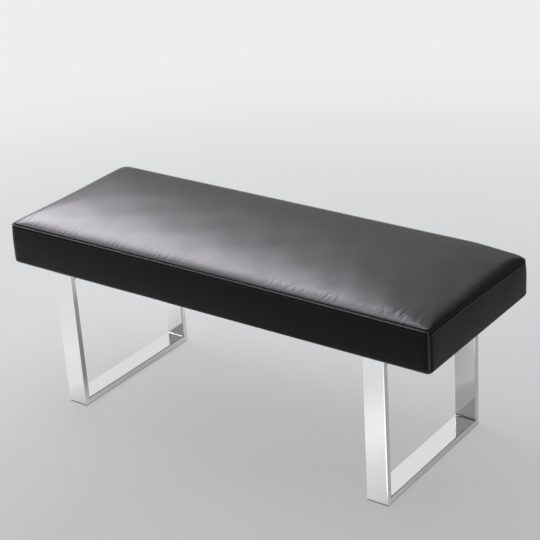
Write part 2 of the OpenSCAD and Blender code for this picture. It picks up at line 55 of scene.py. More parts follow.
log = logging.getLogger("bench")

Socket = bpy.types.NodeSocket
Piece = bpy.types.Object
NOISE_SPAN = (0.3, 0.7)


class Side(Enum):
    """The pad's four sides, counted to the right from the front."""

    FRONT = 0
    RIGHT = 1
    REAR = 2
    LEFT = 3

    @property
    def is_long(self) -> bool:
        """Whether the side runs along the bench."""
        return self in (Side.FRONT, Side.REAR)

    @property
    def panel(self) -> str:
        """The node of the cover's panel on this side."""
        return f"cover_{self.name.lower()}_panel"

    def place(self, along: np.ndarray, out: np.ndarray) -> tuple[np.ndarray, np.ndarray]:
        """Turns lengths along and outward from the middle into the plan.

        Args:
            along: Lengths along the side, to the right as seen from outside.
            out: Lengths outward from the pad's middle.

        Returns:
            The X and Y of each point.
        """
        if self is Side.FRONT:
            return along, -out
        if self is Side.RIGHT:
            return out, along
        if self is Side.REAR:
            return -along, out
        return -out, -along


class Grain(Enum):
    """The way that a board's fibres run."""

    ALONG_BENCH = 0
    FRONT_TO_BACK = 1


def smooth_step(t: np.ndarray) -> np.ndarray:
    """Rises smoothly from 0 to 1 while t goes from 0 to 1."""
    t = np.clip(t, 0.0, 1.0)
    return t * t * (3.0 - 2.0 * t)


def bump_shape(x: np.ndarray, middle: float, width: float) -> np.ndarray:
    """A bell of height 1 about the middle, whose width is to where it has fallen to about a third."""
    return np.exp(-(((x - middle) / width) ** 2))


def spread(low: float, high: float, step: float) -> np.ndarray:
    """Evenly spaced values from low to high, no further apart than step."""
    return np.linspace(low, high, max(2, math.ceil((high - low) / step) + 1))


def graded(half: float, edge: np.ndarray, step: float) -> np.ndarray:
    """Values from -half to half that lie closer together towards both ends.

    Args:
        half: Half of the whole length.
        edge: Distances from an end at which the closer values lie, the first 0.
        step: Largest distance between two values in the middle.

    Returns:
        The values in rising order.
    """
    inner = spread(-half + edge[-1], half - edge[-1], step)
    return np.concatenate([-half + edge[:-1], inner, (half - edge[:-1])[::-1]])


def sample(field: np.ndarray, xs: np.ndarray, ys: np.ndarray, x: np.ndarray, y: np.ndarray) -> np.ndarray:
    """Reads a field on a grid at other places, straight between the grid's points.

    Args:
        field: Values of shape (len(ys), len(xs), 3).
        xs: The grid's rising columns.
        ys: The grid's rising rows.
        x: Columns to read at.
        y: Rows to read at.

    Returns:
        Values of shape (len(y), len(x), 3).
    """
    i = np.clip(np.searchsorted(xs, x) - 1, 0, len(xs) - 2)
    j = np.clip(np.searchsorted(ys, y) - 1, 0, len(ys) - 2)
    tx = np.clip((x - xs[i]) / (xs[i + 1] - xs[i]), 0, 1)[None, :, None]
    ty = np.clip((y - ys[j]) / (ys[j + 1] - ys[j]), 0, 1)[:, None, None]
    low = field[j][:, i] * (1 - tx) + field[j][:, i + 1] * tx
    high = field[j + 1][:, i] * (1 - tx) + field[j + 1][:, i + 1] * tx
    return low * (1 - ty) + high * ty


def grid_faces(rows: int, cols: int, start: int = 0, wrap: bool = False) -> list[tuple[int, int, int, int]]:
    """Four-sided faces over a grid of points.

    Args:
        rows: Number of rows.
        cols: Number of points in a row.
        start: Number of the grid's first point.
        wrap: Whether the last column joins the first.

    Returns:
        The faces as point numbers.
    """
    faces = []
    for j in range(rows - 1):
        for i in range(cols if wrap else cols - 1):
            k = (i + 1) % cols
            a, b = start + j * cols, start + (j + 1) * cols
            faces.append((a + i, a + k, b + k, b + i))
    return faces


def grid_normals(points: np.ndarray) -> np.ndarray:
    """Unit normals of a grid of points, on the side that its faces show.

    Args:
        points: Points of shape (rows, columns, 3).

    Returns:
        Normals of the same shape.
    """
    along_row = np.gradient(points, axis=1)
    along_col = np.gradient(points, axis=0)
    normals = np.cross(along_row, along_col)
    return normals / np.maximum(np.linalg.norm(normals, axis=2, keepdims=True), 1e-12)


def closed_sheet(upper: np.ndarray, lower: np.ndarray) -> tuple[np.ndarray, list[tuple[int, ...]]]:
    """Joins two grids of points round their rims.

    Args:
        upper: The upper face's points, of shape (rows, columns, 3).
        lower: The lower face's points, of the same shape.

    Returns:
        All the points, the upper ones first, and the faces.
    """
    rows, cols, _ = upper.shape
    count = rows * cols
    faces = grid_faces(rows, cols) + [tuple(reversed(face)) for face in grid_faces(rows, cols, count)]
    right = range(2 * cols - 1, count, cols)
    rear = range(count - 2, count - cols - 1, -1)
    left = range(count - 2 * cols, 0, -cols)
    rim = [*range(cols), *right, *rear, *left]
    for a, b in zip(rim, rim[1:] + rim[:1]):
        faces.append((b, a, a + count, b + count))
    return np.stack([upper, lower]), faces


def make_piece(name: str, points: np.ndarray, faces: list, slot: str, material: bpy.types.Material) -> Piece:
    """Makes a smooth-shaded mesh piece that rides on the bench.

    Args:
        name: The piece's name.
        points: Places of shape (..., 3).
        faces: Faces as point numbers.
        slot: Not used.
        material: The finish.

    Returns:
        The new object.
    """
    mesh = bpy.data.meshes.new(name)
    mesh.from_pydata(points.reshape(-1, 3).tolist(), [], faces)
    mesh.polygons.foreach_set("use_smooth", [True] * len(mesh.polygons))
    mesh.materials.append(material)
    mesh.update()
    piece = bpy.data.objects.new(name, mesh)
    bpy.context.scene.collection.objects.link(piece)
    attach(piece, BODY)
    return piece


class NodeSheet:
    """The nodes of a material or of the world, with short calls to add and join them."""

    def __init__(self, tree: bpy.types.NodeTree) -> None:
        """Starts with an empty tree."""
        self.tree = tree
        self.tree.nodes.clear()

    def link(self, source: Socket | float | tuple, target: Socket) -> None:
        """Joins an output to an input, or sets the input to a constant.

        Args:
            source: An output or a constant.
            target: The input.
        """
        if isinstance(source, bpy.types.NodeSocket):
            self.tree.links.new(source, target)
        else:
            target.default_value = source

    def add(self, kind: str, **settings: object) -> bpy.types.Node:
        """Adds a node, feeds its inputs and sets its properties.

        Args:
            kind: Blender's name for the node.
            settings: Inputs or properties by name, with spaces written as underscores.

        Returns:
            The node.
        """
        node = self.tree.nodes.new(kind)
        for key, value in settings.items():
            label = key.replace("_", " ")
            if label in node.inputs:
                self.link(value, node.inputs[label])
            else:
                setattr(node, key, value)
        return node

    def number(self, operation: str, *values: Socket | float) -> Socket:
        """The result of arithmetic on numbers.

        Args:
            operation: Blender's name for it.
            values: Outputs or constants, in their order.

        Returns:
            The result.
        """
        node = self.add("ShaderNodeMath", operation=operation)
        for value, target in zip(values, node.inputs):
            self.link(value, target)
        return node.outputs[0]

    def vector(self, operation: str, first: Socket, second: tuple | None = None) -> Socket:
        """The result of arithmetic on vectors.

        Args:
            operation: Blender's name for it.
            first: The first vector.
            second: The second, where the operation takes two.

        Returns:
            The result, which is a number for a length, a distance or a dot product.
        """
        node = self.add("ShaderNodeVectorMath", operation=operation, Vector=first)
        if second is not None:
            node.inputs[1].default_value = second
        return node.outputs["Value" if operation in ("LENGTH", "DISTANCE", "DOT_PRODUCT") else "Vector"]

    def scaled(self, colour: Socket, factor: Socket | float) -> Socket:
        """A colour times a factor."""
        node = self.add("ShaderNodeVectorMath", operation="SCALE", Vector=colour, Scale=factor)
        return node.outputs["Vector"]

    def place(self, stretch: tuple = (1.0, 1.0, 1.0), shift: tuple = (0.0, 0.0, 0.0)) -> Socket:
        """The place on the piece in the frame, stretched along each axis and then shifted."""
        where = self.add("ShaderNodeTexCoord").outputs["Object"]
        return self.add("ShaderNodeMapping", Vector=where, Scale=stretch, Location=shift).outputs["Vector"]

    def noise(self, place: Socket, per_metre: float, detail: float = 3.0) -> Socket:
        """Cloudy noise with so many lumps per metre."""
        return self.add("ShaderNodeTexNoise", Vector=place, Scale=per_metre, Detail=detail).outputs["Fac"]

    def cells(self, place: Socket, per_metre: float) -> Socket:
        """Distance from the middle of the nearest of so many cells per metre."""
        return self.add("ShaderNodeTexVoronoi", Vector=place, Scale=per_metre).outputs["Distance"]

    def waves(self, place: Socket, per_metre: float, axis: str, wobble: float) -> Socket:
        """Bands square to an axis, pushed about by the wobble."""
        bands = {"bands_direction": axis, "Scale": per_metre, "Distortion": wobble}
        return self.add("ShaderNodeTexWave", Vector=place, **bands).outputs["Fac"]

    def remap(self, value: Socket, low: float, high: float, start: float = 0.0, end: float = 1.0) -> Socket:
        """Turns values from start to end into values from low to high, and holds those beyond."""
        span = {"From_Min": start, "From_Max": end, "To_Min": low, "To_Max": high}
        return self.add("ShaderNodeMapRange", Value=value, **span).outputs["Result"]

    def blend(self, factor: Socket, first: tuple, second: tuple) -> Socket:
        """A colour that goes from the first to the second with the factor.

        Args:
            factor: The share of the second colour.
            first: The first colour.
            second: The second colour.

        Returns:
            The colour.
        """
        node = self.add("ShaderNodeMix", data_type="RGBA")
        self.link(factor, node.inputs[0])
        self.link((*first, 1.0), node.inputs[6])
        self.link((*second, 1.0), node.inputs[7])
        return node.outputs[2]

    def relief(self, height: Socket, depth: float, under: Socket | None = None) -> Socket:
        """A bump on top of the relief under it.

        Args:
            height: The bump's height from 0 to 1.
            depth: What a height of 1 stands for, in metres.
            under: The relief under it, if any.

        Returns:
            The normal.
        """
        node = self.add("ShaderNodeBump", Strength=1.0, Distance=depth, Height=height)
        if under is not None:
            self.link(under, node.inputs["Normal"])
        return node.outputs["Normal"]

    def greys(self, factor: Socket, stops: tuple) -> Socket:
        """Slightly cool greys along a ramp.

        Args:
            factor: The place on the ramp.
            stops: Pairs of a place from 0 to 1 and a grey.

        Returns:
            The colour.
        """
        ramp = self.add("ShaderNodeValToRGB", Fac=factor)
        marks = ramp.color_ramp.elements
        while len(marks) < len(stops):
            marks.new(0.5)
        for mark, (place, grey) in zip(marks, stops):
            mark.position = place
            mark.color = (grey * 0.990, grey, grey * 1.004, 1.0)
        return ramp.outputs["Color"]

    def mix(self, factor: Socket, first: Socket, second: Socket) -> Socket:
        """A shader that goes from the first to the second with the factor.

        Args:
            factor: The share of the second shader.
            first: The first shader.
            second: The second shader.

        Returns:
            The mixed shader.
        """
        node = self.add("ShaderNodeMixShader", Fac=factor)
        self.link(first, node.inputs[1])
        self.link(second, node.inputs[2])
        return node.outputs[0]


class MaterialSheet(NodeSheet):
    """A material's nodes, round one principled shader."""

    def __init__(self, name: str) -> None:
        """Starts a material that has only an output and a principled shader."""
        self.material = bpy.data.materials.new(name)
        self.material.use_nodes = True
        super().__init__(self.material.node_tree)
        self.output = self.add("ShaderNodeOutputMaterial")
        self.shader = self.add("ShaderNodeBsdfPrincipled")
        self.link(self.shader.outputs["BSDF"], self.output.inputs["Surface"])

    def finish(self, **inputs: Socket | float | tuple) -> bpy.types.Material:
        """Feeds the shader's inputs.

        Args:
            inputs: Outputs or constants by the input's name, with spaces written as underscores.

        Returns:
            The finished material.
        """
        for key, value in inputs.items():
            self.link(value, self.shader.inputs[key.replace("_", " ")])
        return self.material


@dataclass(frozen=True)
class LeatherLook:
    """Smooth black vinyl with a fine pebbled grain, faint creases and a satin gloss."""

    name: str
    # Strength of the reflection; copies of one vinyl differ in it as painted sheen and painted shade.
    gloss: float
    dark: tuple = (0.0052, 0.0046, 0.0043)
    light: tuple = (0.0072, 0.0066, 0.0063)
    clouds: float = 14.0
    rough: tuple = (0.29, 0.35)
    ripples: float = 22.0
    ripple_depth: float = 0.22 * MM
    creases: float = 110.0
    crease_stretch: tuple = (1.0, 0.22, 1.0)
    grains: float = 850.0
    grain_depth: float = 0.04 * MM
    crease_share: float = 3.0
    pore_share: float = 0.6

    def material(self) -> bpy.types.Material:
        """Builds the cover's material.

        Returns:
            The material.
        """
        sheet = MaterialSheet(self.name)
        place = sheet.place()
        tone = sheet.noise(place, self.clouds, 4.0)
        grain = sheet.cells(place, self.grains)
        pores = sheet.noise(place, self.grains * self.pore_share, 2.0)
        ripple = sheet.noise(place, self.ripples, 2.0)
        creases = sheet.noise(sheet.place(self.crease_stretch), self.creases, 4.0)
        coarse = sheet.relief(ripple, self.ripple_depth)
        fine = sheet.relief(creases, self.grain_depth * self.crease_share, coarse)
        porous = sheet.relief(pores, self.grain_depth * self.pore_share, fine)
        return sheet.finish(
            Base_Color=sheet.blend(tone, self.dark, self.light),
            Roughness=sheet.remap(tone, *self.rough, *NOISE_SPAN),
            Normal=sheet.relief(grain, self.grain_depth, porous),
            IOR=1.5,
            Specular_Tint=(self.gloss, self.gloss, self.gloss * 1.03, 1.0),
        )


@dataclass(frozen=True)
class Thread:
    """Sewing thread, twisted and slightly glossy."""

    name: str
    colour: tuple
    lit: float = 2.2
    twists: float = 1400.0
    twist_depth: float = 0.05 * MM
    rough: tuple = (0.55, 0.4)

    def material(self) -> bpy.types.Material:
        """Builds the thread's material.

        Returns:
            The material.
        """
        sheet = MaterialSheet(self.name)
        twist = sheet.waves(sheet.place(), self.twists, "DIAGONAL", 0.3)
        lighter = tuple(c * self.lit for c in self.colour)
        return sheet.finish(
            Base_Color=sheet.blend(twist, self.colour, lighter),
            Roughness=sheet.remap(twist, *self.rough),
            Normal=sheet.relief(twist, self.twist_depth),
        )


@dataclass(frozen=True)
class ChromePlate:
    """Polished chrome on steel tube, whose reflections waver slightly and whose welds are rougher and painted
    darker.

    The welds sit in the inner corners of the legs, at the same place from each leg's middle, where the darker
    colour is painted shade that dims the lamps' highlight.
    """

    colour: tuple = (0.88, 0.88, 0.89)
    tint: float = 1.04
    haze: float = 60.0
    rough: tuple = (0.045, 0.085)
    waver: float = 9.0
    waver_stretch: tuple = (1.0, 1.0, 0.45)
    waver_depth: float = 0.35 * MM
    polish: float = 900.0
    polish_stretch: tuple = (4.0, 4.0, 0.3)
    polish_depth: float = 0.002 * MM
    leg_middle: float = 185 * MM
    weld_corner: tuple = (0.0, 192 * MM, 167 * MM)
    weld_reach: tuple = (4 * MM, 5 * MM)
    weld_rough: float = 0.55
    # Share of the colour left at the welds: painted shade.
    weld_painted_shade: float = 0.8

    def material(self) -> bpy.types.Material:
        """Builds the chrome's material.

        Returns:
            The material.
        """
        sheet = MaterialSheet("polished_chrome")
        slow = sheet.noise(sheet.place(self.waver_stretch), self.waver, 1.0)
        haze = sheet.noise(sheet.place(), self.haze, 5.0)
        fine = sheet.noise(sheet.place(self.polish_stretch), self.polish, 2.0)
        folded = sheet.vector("ABSOLUTE", sheet.place((0.0, 1.0, 1.0), (0.0, 0.0, -self.leg_middle)))
        from_weld = sheet.vector("DISTANCE", folded, self.weld_corner)
        ground = sheet.remap(from_weld, self.weld_rough, 0.0, *self.weld_reach)
        # Painted shade: the colour is darkened near the welds in the inner corners, to dim the lamps'
        # highlight there.
        painted_weld_shade = sheet.remap(from_weld, self.weld_painted_shade, 1.0, *self.weld_reach)
        hazy = tuple(c * self.tint for c in self.colour)
        return sheet.finish(
            Base_Color=sheet.scaled(sheet.blend(haze, self.colour, hazy), painted_weld_shade),
            Roughness=sheet.number("MAXIMUM", sheet.remap(haze, *self.rough, *NOISE_SPAN), ground),
            Normal=sheet.relief(fine, self.polish_depth, sheet.relief(slow, self.waver_depth)),
            Metallic=1.0,
        )


@dataclass(frozen=True)
class ZincPlate:
    """Dull, slightly mottled zinc on bolts, nuts, screws and staples."""

    colour: tuple = (0.56, 0.57, 0.58)
    shade: tuple = (0.42, 0.43, 0.45)
    spangles: float = 420.0
    grit: float = 1500.0
    grit_depth: float = 0.02 * MM
    rough: tuple = (0.28, 0.46)

    def material(self) -> bpy.types.Material:
        """Builds the zinc's material.

        Returns:
            The material.
        """
        sheet = MaterialSheet("zinc_plate")
        place = sheet.place()
        grit = sheet.noise(place, self.grit, 3.0)
        return sheet.finish(
            Base_Color=sheet.blend(sheet.cells(place, self.spangles), self.colour, self.shade),
            Roughness=sheet.remap(grit, *self.rough),
            Normal=sheet.relief(grit, self.grit_depth),
            Metallic=1.0,
        )


@dataclass(frozen=True)
class Timber:
    """Sawn pine with its year rings drawn out along the fibres."""

    grain: Grain
    early: tuple = (0.62, 0.43, 0.23)
    late: tuple = (0.40, 0.24, 0.11)
    along: float = 0.06
    rings: float = 60.0
    ring_depth: float = 0.1 * MM
    fibres: float = 700.0
    fibre_depth: float = 0.25 * MM
    rough: tuple = (0.55, 0.8)

    def material(self) -> bpy.types.Material:
        """Builds the timber's material.

        Returns:
            The material.
        """
        sheet = MaterialSheet(f"sawn_pine_{self.grain.name.lower()}")
        lengthwise = self.grain is Grain.ALONG_BENCH
        place = sheet.place((self.along, 1.0, 1.0) if lengthwise else (1.0, self.along, 1.0))
        rings = sheet.waves(place, self.rings, "Y" if lengthwise else "X", 6.0)
        fibres = sheet.noise(place, self.fibres, 5.0)
        return sheet.finish(
            Base_Color=sheet.blend(rings, self.early, self.late),
            Roughness=sheet.remap(fibres, *self.rough),
            Normal=sheet.relief(fibres, self.fibre_depth, sheet.relief(rings, self.ring_depth)),
        )


@dataclass(frozen=True)
class Plywood:
    """Birch plywood: a lively face and thin plies along its edges."""

    face: tuple = (0.60, 0.44, 0.27)
    dark_ply: tuple = (0.34, 0.21, 0.11)
    plies: float = 330.0
    ply_edge: tuple = (0.55, 0.75)
    ply_share: float = 0.8
    figure: float = 55.0
    figure_stretch: tuple = (0.12, 1.0, 1.0)
    figure_depth: float = 0.2 * MM
    rough: tuple = (0.5, 0.75)

    def material(self) -> bpy.types.Material:
        """Builds the plywood's material.

        Returns:
            The material.
        """
        sheet = MaterialSheet("birch_plywood")
        plies = sheet.waves(sheet.place(), self.plies, "Z", 0.4)
        dark = sheet.remap(plies, 0.0, self.ply_share, *self.ply_edge)
        figure = sheet.noise(sheet.place(self.figure_stretch), self.figure, 5.0)
        return sheet.finish(
            Base_Color=sheet.blend(dark, self.face, self.dark_ply),
            Roughness=sheet.remap(figure, *self.rough),
            Normal=sheet.relief(figure, self.figure_depth),
        )


@dataclass(frozen=True)
class DustCloth:
    """Thin black non-woven cloth, pressed with a fine crossed pattern."""

    dark: tuple = (0.012, 0.012, 0.013)
    light: tuple = (0.030, 0.030, 0.031)
    points: float = 520.0
    point_depth: float = 0.12 * MM
    fibres: float = 900.0
    fibre_depth: float = 0.08 * MM
    rough: tuple = (0.75, 0.95)

    def material(self) -> bpy.types.Material:
        """Builds the dust cloth's material.

        Returns:
            The material.
        """
        sheet = MaterialSheet("black_dust_cloth")
        place = sheet.place()
        across = sheet.waves(place, self.points, "X", 0.2)
        along = sheet.waves(place, self.points, "Y", 0.2)
        fibres = sheet.noise(place, self.fibres, 4.0)
        pressed = sheet.relief(sheet.number("MULTIPLY", across, along), self.point_depth)
        return sheet.finish(
            Base_Color=sheet.blend(fibres, self.dark, self.light),
            Roughness=sheet.remap(fibres, *self.rough),
            Normal=sheet.relief(fibres, self.fibre_depth, pressed),
        )


@dataclass(frozen=True)
class Padding:
    """Foam or wadding, by its colours, its pores and their depth."""

    name: str
    light: tuple
    dark: tuple
    pores: float
    pore_depth: float
    lumps: float = 40.0
    lump_depth: float = 0.6 * MM
    rough: tuple = (0.85, 0.98)

    def material(self) -> bpy.types.Material:
        """Builds the padding's material.

        Returns:
            The material.
        """
        sheet = MaterialSheet(self.name)
        place = sheet.place()
        pores = sheet.cells(place, self.pores)
        lumps = sheet.noise(place, self.lumps, 5.0)
        return sheet.finish(
            Base_Color=sheet.blend(lumps, self.light, self.dark),
            Roughness=sheet.remap(lumps, *self.rough),
            Normal=sheet.relief(pores, self.pore_depth, sheet.relief(lumps, self.lump_depth)),
        )


@dataclass(frozen=True)
class MouldedPlastic:
    """Grey nylon of the glides, with a fine moulded texture."""

    colour: tuple = (0.045, 0.045, 0.048)
    scuffed: tuple = (0.085, 0.085, 0.088)
    scuffs: float = 90.0
    scuff_edge: tuple = (0.5, 0.75)
    texture: float = 2500.0
    texture_depth: float = 0.03 * MM
    rough: tuple = (0.42, 0.62)

    def material(self) -> bpy.types.Material:
        """Builds the plastic's material.

        Returns:
            The material.
        """
        sheet = MaterialSheet("moulded_nylon")
        place = sheet.place()
        scuffs = sheet.noise(place, self.scuffs, 5.0)
        wear_and_sheen = sheet.remap(scuffs, 0.0, 1.0, *self.scuff_edge)
        texture = sheet.noise(place, self.texture, 2.0)
        return sheet.finish(
            Base_Color=sheet.blend(wear_and_sheen, self.colour, self.scuffed),
            Roughness=sheet.remap(scuffs, *self.rough),
            Normal=sheet.relief(texture, self.texture_depth),
        )


@dataclass(frozen=True)
class PadForm:
    """The pad's outline, sides and crown.

    Attributes:
        half_l, half_d: Half the length and half the depth of the sides.
        hem_z, seam_z: Heights of the lower edge and of the top seam.
        cover: Thickness of the vinyl.
        corner: Radius of the upright corners.
        tuck: How far the sides lean in at the seam.
        draw, draw_fade: How far the seam is drawn in midway, and how far into the top that reaches.
        drawn_end, drawn_edge: Shares of half the length and half the depth over which the draw sets in.
        shoulder_h, shoulder_w: Height and width of the rounded edge at the front.
        back_h, back_w: The same at the back, where the foam is firmer.
        back_from, back_over: Where the foam begins to be firmer, and over what distance.
        swell_h, swell_power: Height of the crown inside the shoulder, and how flat its middle is.
        fold, hem: Radius of the fold at the lower edge, and width of what is turned under.
        corner_growth, least_corner: How fast the corners widen inward, and the smallest radius of a corner.
        bow, lean: How far the seam stands up midway, and how far it falls from the middle to the right.
        settled, settled_from: How far the worn corner has sunk, and from where on.
        lift_power: How fast those differences in height fade down the sides.
        halvings: Steps of the search for a point's distance from the seam.
    """

    half_l: float
    half_d: float
    hem_z: float
    seam_z: float
    cover: float = 1.2 * MM
    corner: float = 14 * MM
    tuck: float = 3 * MM
    draw: float = 2 * MM
    draw_fade: float = 80 * MM
    drawn_end: float = 0.2
    drawn_edge: float = 0.5
    shoulder_h: float = 9.9 * MM
    shoulder_w: float = 36 * MM
    back_h: float = 13 * MM
    back_w: float = 30 * MM
    back_from: float = -50 * MM
    back_over: float = 200 * MM
    swell_h: float = 9.3 * MM
    swell_power: float = 3.0
    fold: float = 10 * MM
    hem: float = 30 * MM
    corner_growth: float = 1.5
    least_corner: float = 2 * MM
    bow: float = 1.5 * MM
    lean: float = 1.3 * MM
    settled: float = 8 * MM
    settled_from: tuple = (455 * MM, -120 * MM)
    lift_power: float = 1.5
    halvings: int = 30

    @classmethod
    def from_frame(cls) -> "PadForm":
        """Reads the pad's main sizes from the cover's nodes.

        Returns:
            The pad's form.
        """
        end_low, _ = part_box(Side.LEFT.panel)
        front_low, front_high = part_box(Side.FRONT.panel)
        seam_z = front_high.z + cls.cover
        return cls(half_l=-end_low.x, half_d=-front_low.y, hem_z=front_low.z, seam_z=seam_z)

    @property
    def half_top(self) -> tuple[float, float]:
        """Half the length and half the depth inside the top seam."""
        return self.half_l - self.tuck, self.half_d - self.tuck

    def tuck_at(self, z: np.ndarray) -> np.ndarray:
        """How far the sides are tucked in at height z."""
        belly = (self.hem_z + self.seam_z) / 2
        return self.tuck * np.maximum(0.0, (z - belly) / (self.seam_z - belly)) ** 2

    def draw_at(self, z: np.ndarray) -> np.ndarray:
        """How far the sides are drawn in midway between two corners at height z."""
        return self.draw * ((z - self.hem_z) / (self.seam_z - self.hem_z)) ** 2

    def lift_at(self, x: np.ndarray, y: np.ndarray) -> np.ndarray:
        """How far the top and its seam stand above a level pad: bowed up midway, and settled at one corner.

        Args:
            x: Places along the bench.
            y: Places from front to back.

        Returns:
            The heights.
        """
        from_x, from_y = self.settled_from
        past_x = smooth_step((x - from_x) / (self.half_l - from_x))
        past_y = smooth_step((y - from_y) / (self.half_d - from_y))
        bowed = self.bow * (1 - (x / self.half_l) ** 2)
        return bowed - self.lean * x / self.half_l - self.settled * (past_x * past_y)

    def rise(self, depth: np.ndarray, y: np.ndarray) -> np.ndarray:
        """Height of the top above its seam, where the foam has settled towards the front edge.

        Args:
            depth: Distances from the seam.
            y: Places from front to back.

        Returns:
            The heights.
        """
        firm = smooth_step((y - self.back_from) / self.back_over)
        height = self.shoulder_h + (self.back_h - self.shoulder_h) * firm
        width = self.shoulder_w + (self.back_w - self.shoulder_w) * firm
        shoulder = np.sqrt(np.maximum(0.0, 1.0 - np.maximum(0.0, 1.0 - depth / width) ** 2))
        swell = 1.0 - np.maximum(0.0, 1.0 - depth / self.half_top[1]) ** self.swell_power
        return height * shoulder + self.swell_h * swell

    def depth_at(self, x: np.ndarray, y: np.ndarray) -> np.ndarray:
        """Distance of plan points from the seam, along outlines whose corners widen inward.

        Args:
            x: Places along the bench.
            y: Places from front to back.

        Returns:
            The distances.
        """
        top_l, top_d = self.half_top
        low, high = np.zeros_like(x), np.full_like(x, top_d)
        for _ in range(self.halvings):
            mid = (low + high) / 2
            r = np.minimum(self.corner - self.tuck + self.corner_growth * mid, top_d - mid - MM)
            qx, qy = np.abs(x) - (top_l - mid - r), np.abs(y) - (top_d - mid - r)
            beyond = np.hypot(np.maximum(qx, 0), np.maximum(qy, 0)) + np.minimum(np.maximum(qx, qy), 0) - r
            low, high = np.where(beyond < 0, mid, low), np.where(beyond < 0, high, mid)
        return (low + high) / 2

    def top_plan(self, u: np.ndarray, v: np.ndarray) -> tuple[np.ndarray, np.ndarray]:
        """Maps a rectangle's points onto the top, whose corners are round.

        Args:
            u: Places along the bench.
            v: Places from front to back.

        Returns:
            The X and Y of each point.
        """
        top_l, top_d = self.half_top
        r = self.corner - self.tuck
        p = np.clip((np.abs(u) - (top_l - r)) / r, 0, 1)
        q = np.clip((np.abs(v) - (top_d - r)) / r, 0, 1)
        x = np.where(p > 0, np.sign(u) * (top_l - r + r * p * np.sqrt(1 - q * q / 2)), u)
        y = np.where(q > 0, np.sign(v) * (top_d - r + r * q * np.sqrt(1 - p * p / 2)), v)
        return x, y

    def top_points(self, us: np.ndarray, vs: np.ndarray) -> tuple[np.ndarray, np.ndarray]:
        """Points of the crowned top over a grid, and their distances from the seam.

        Args:
            us: Columns, along the bench.
            vs: Rows, from front to back.

        Returns:
            Points of shape (rows, columns, 3), and distances of shape (rows, columns).
        """
        u, v = np.meshgrid(us, vs)
        x, y = self.top_plan(u, v)
        depth = self.depth_at(x, y)
        top_l, top_d = self.half_top
        fade = self.draw * np.maximum(0.0, 1 - depth / self.draw_fade) ** 2
        from_end = smooth_step((np.abs(x) / top_l - (1 - self.drawn_end)) / self.drawn_end)
        from_edge = smooth_step((np.abs(y) / top_d - (1 - self.drawn_edge)) / self.drawn_edge)
        drawn_x = x - np.sign(x) * fade * np.clip(1 - (y / top_d) ** 2, 0, 1) * from_end
        drawn_y = y - np.sign(y) * fade * np.clip(1 - (x / top_l) ** 2, 0, 1) * from_edge
        z = self.seam_z + self.rise(depth, y) + self.lift_at(drawn_x, drawn_y)
        return np.stack([drawn_x, drawn_y, z], axis=-1), depth

    def side_reach(self, side: Side) -> tuple[float, float]:
        """Half the straight stretch of a side, and half its whole length to the corner seams."""
        straight = (self.half_l if side.is_long else self.half_d) - self.corner
        return straight, straight + self.corner * math.pi / 4

    def side_points(
        self, side: Side, s: np.ndarray, inset: np.ndarray, z: np.ndarray, draw: np.ndarray
    ) -> np.ndarray:
        """Points on a side of the pad.

        Args:
            side: The side.
            s: Lengths along the outline from the side's middle.
            inset: Distances inward from the pad's outline.
            z: Heights.
            draw: How far the side is drawn in midway.

        Returns:
            Points of shape (..., 3).
        """
        straight, reach = self.side_reach(side)
        half, other = (self.half_l, self.half_d) if side.is_long else (self.half_d, self.half_l)
        r = np.maximum(self.corner - inset, self.least_corner)
        flat = half - inset - r
        t = np.clip(s / straight, -1, 1)
        turn = np.clip((np.abs(s) - straight) / (reach - straight), 0, 1) * math.pi / 4
        along = t * flat + np.sign(s) * r * np.sin(turn)
        out = other - inset - r + r * np.cos(turn) - draw * (1 - t * t)
        x, y = side.place(along, out)
        share = np.clip((z - self.hem_z) / (self.seam_z - self.hem_z), 0, 1) ** self.lift_power
        return np.stack(np.broadcast_arrays(x, y, z + share * self.lift_at(x, y)), axis=-1)


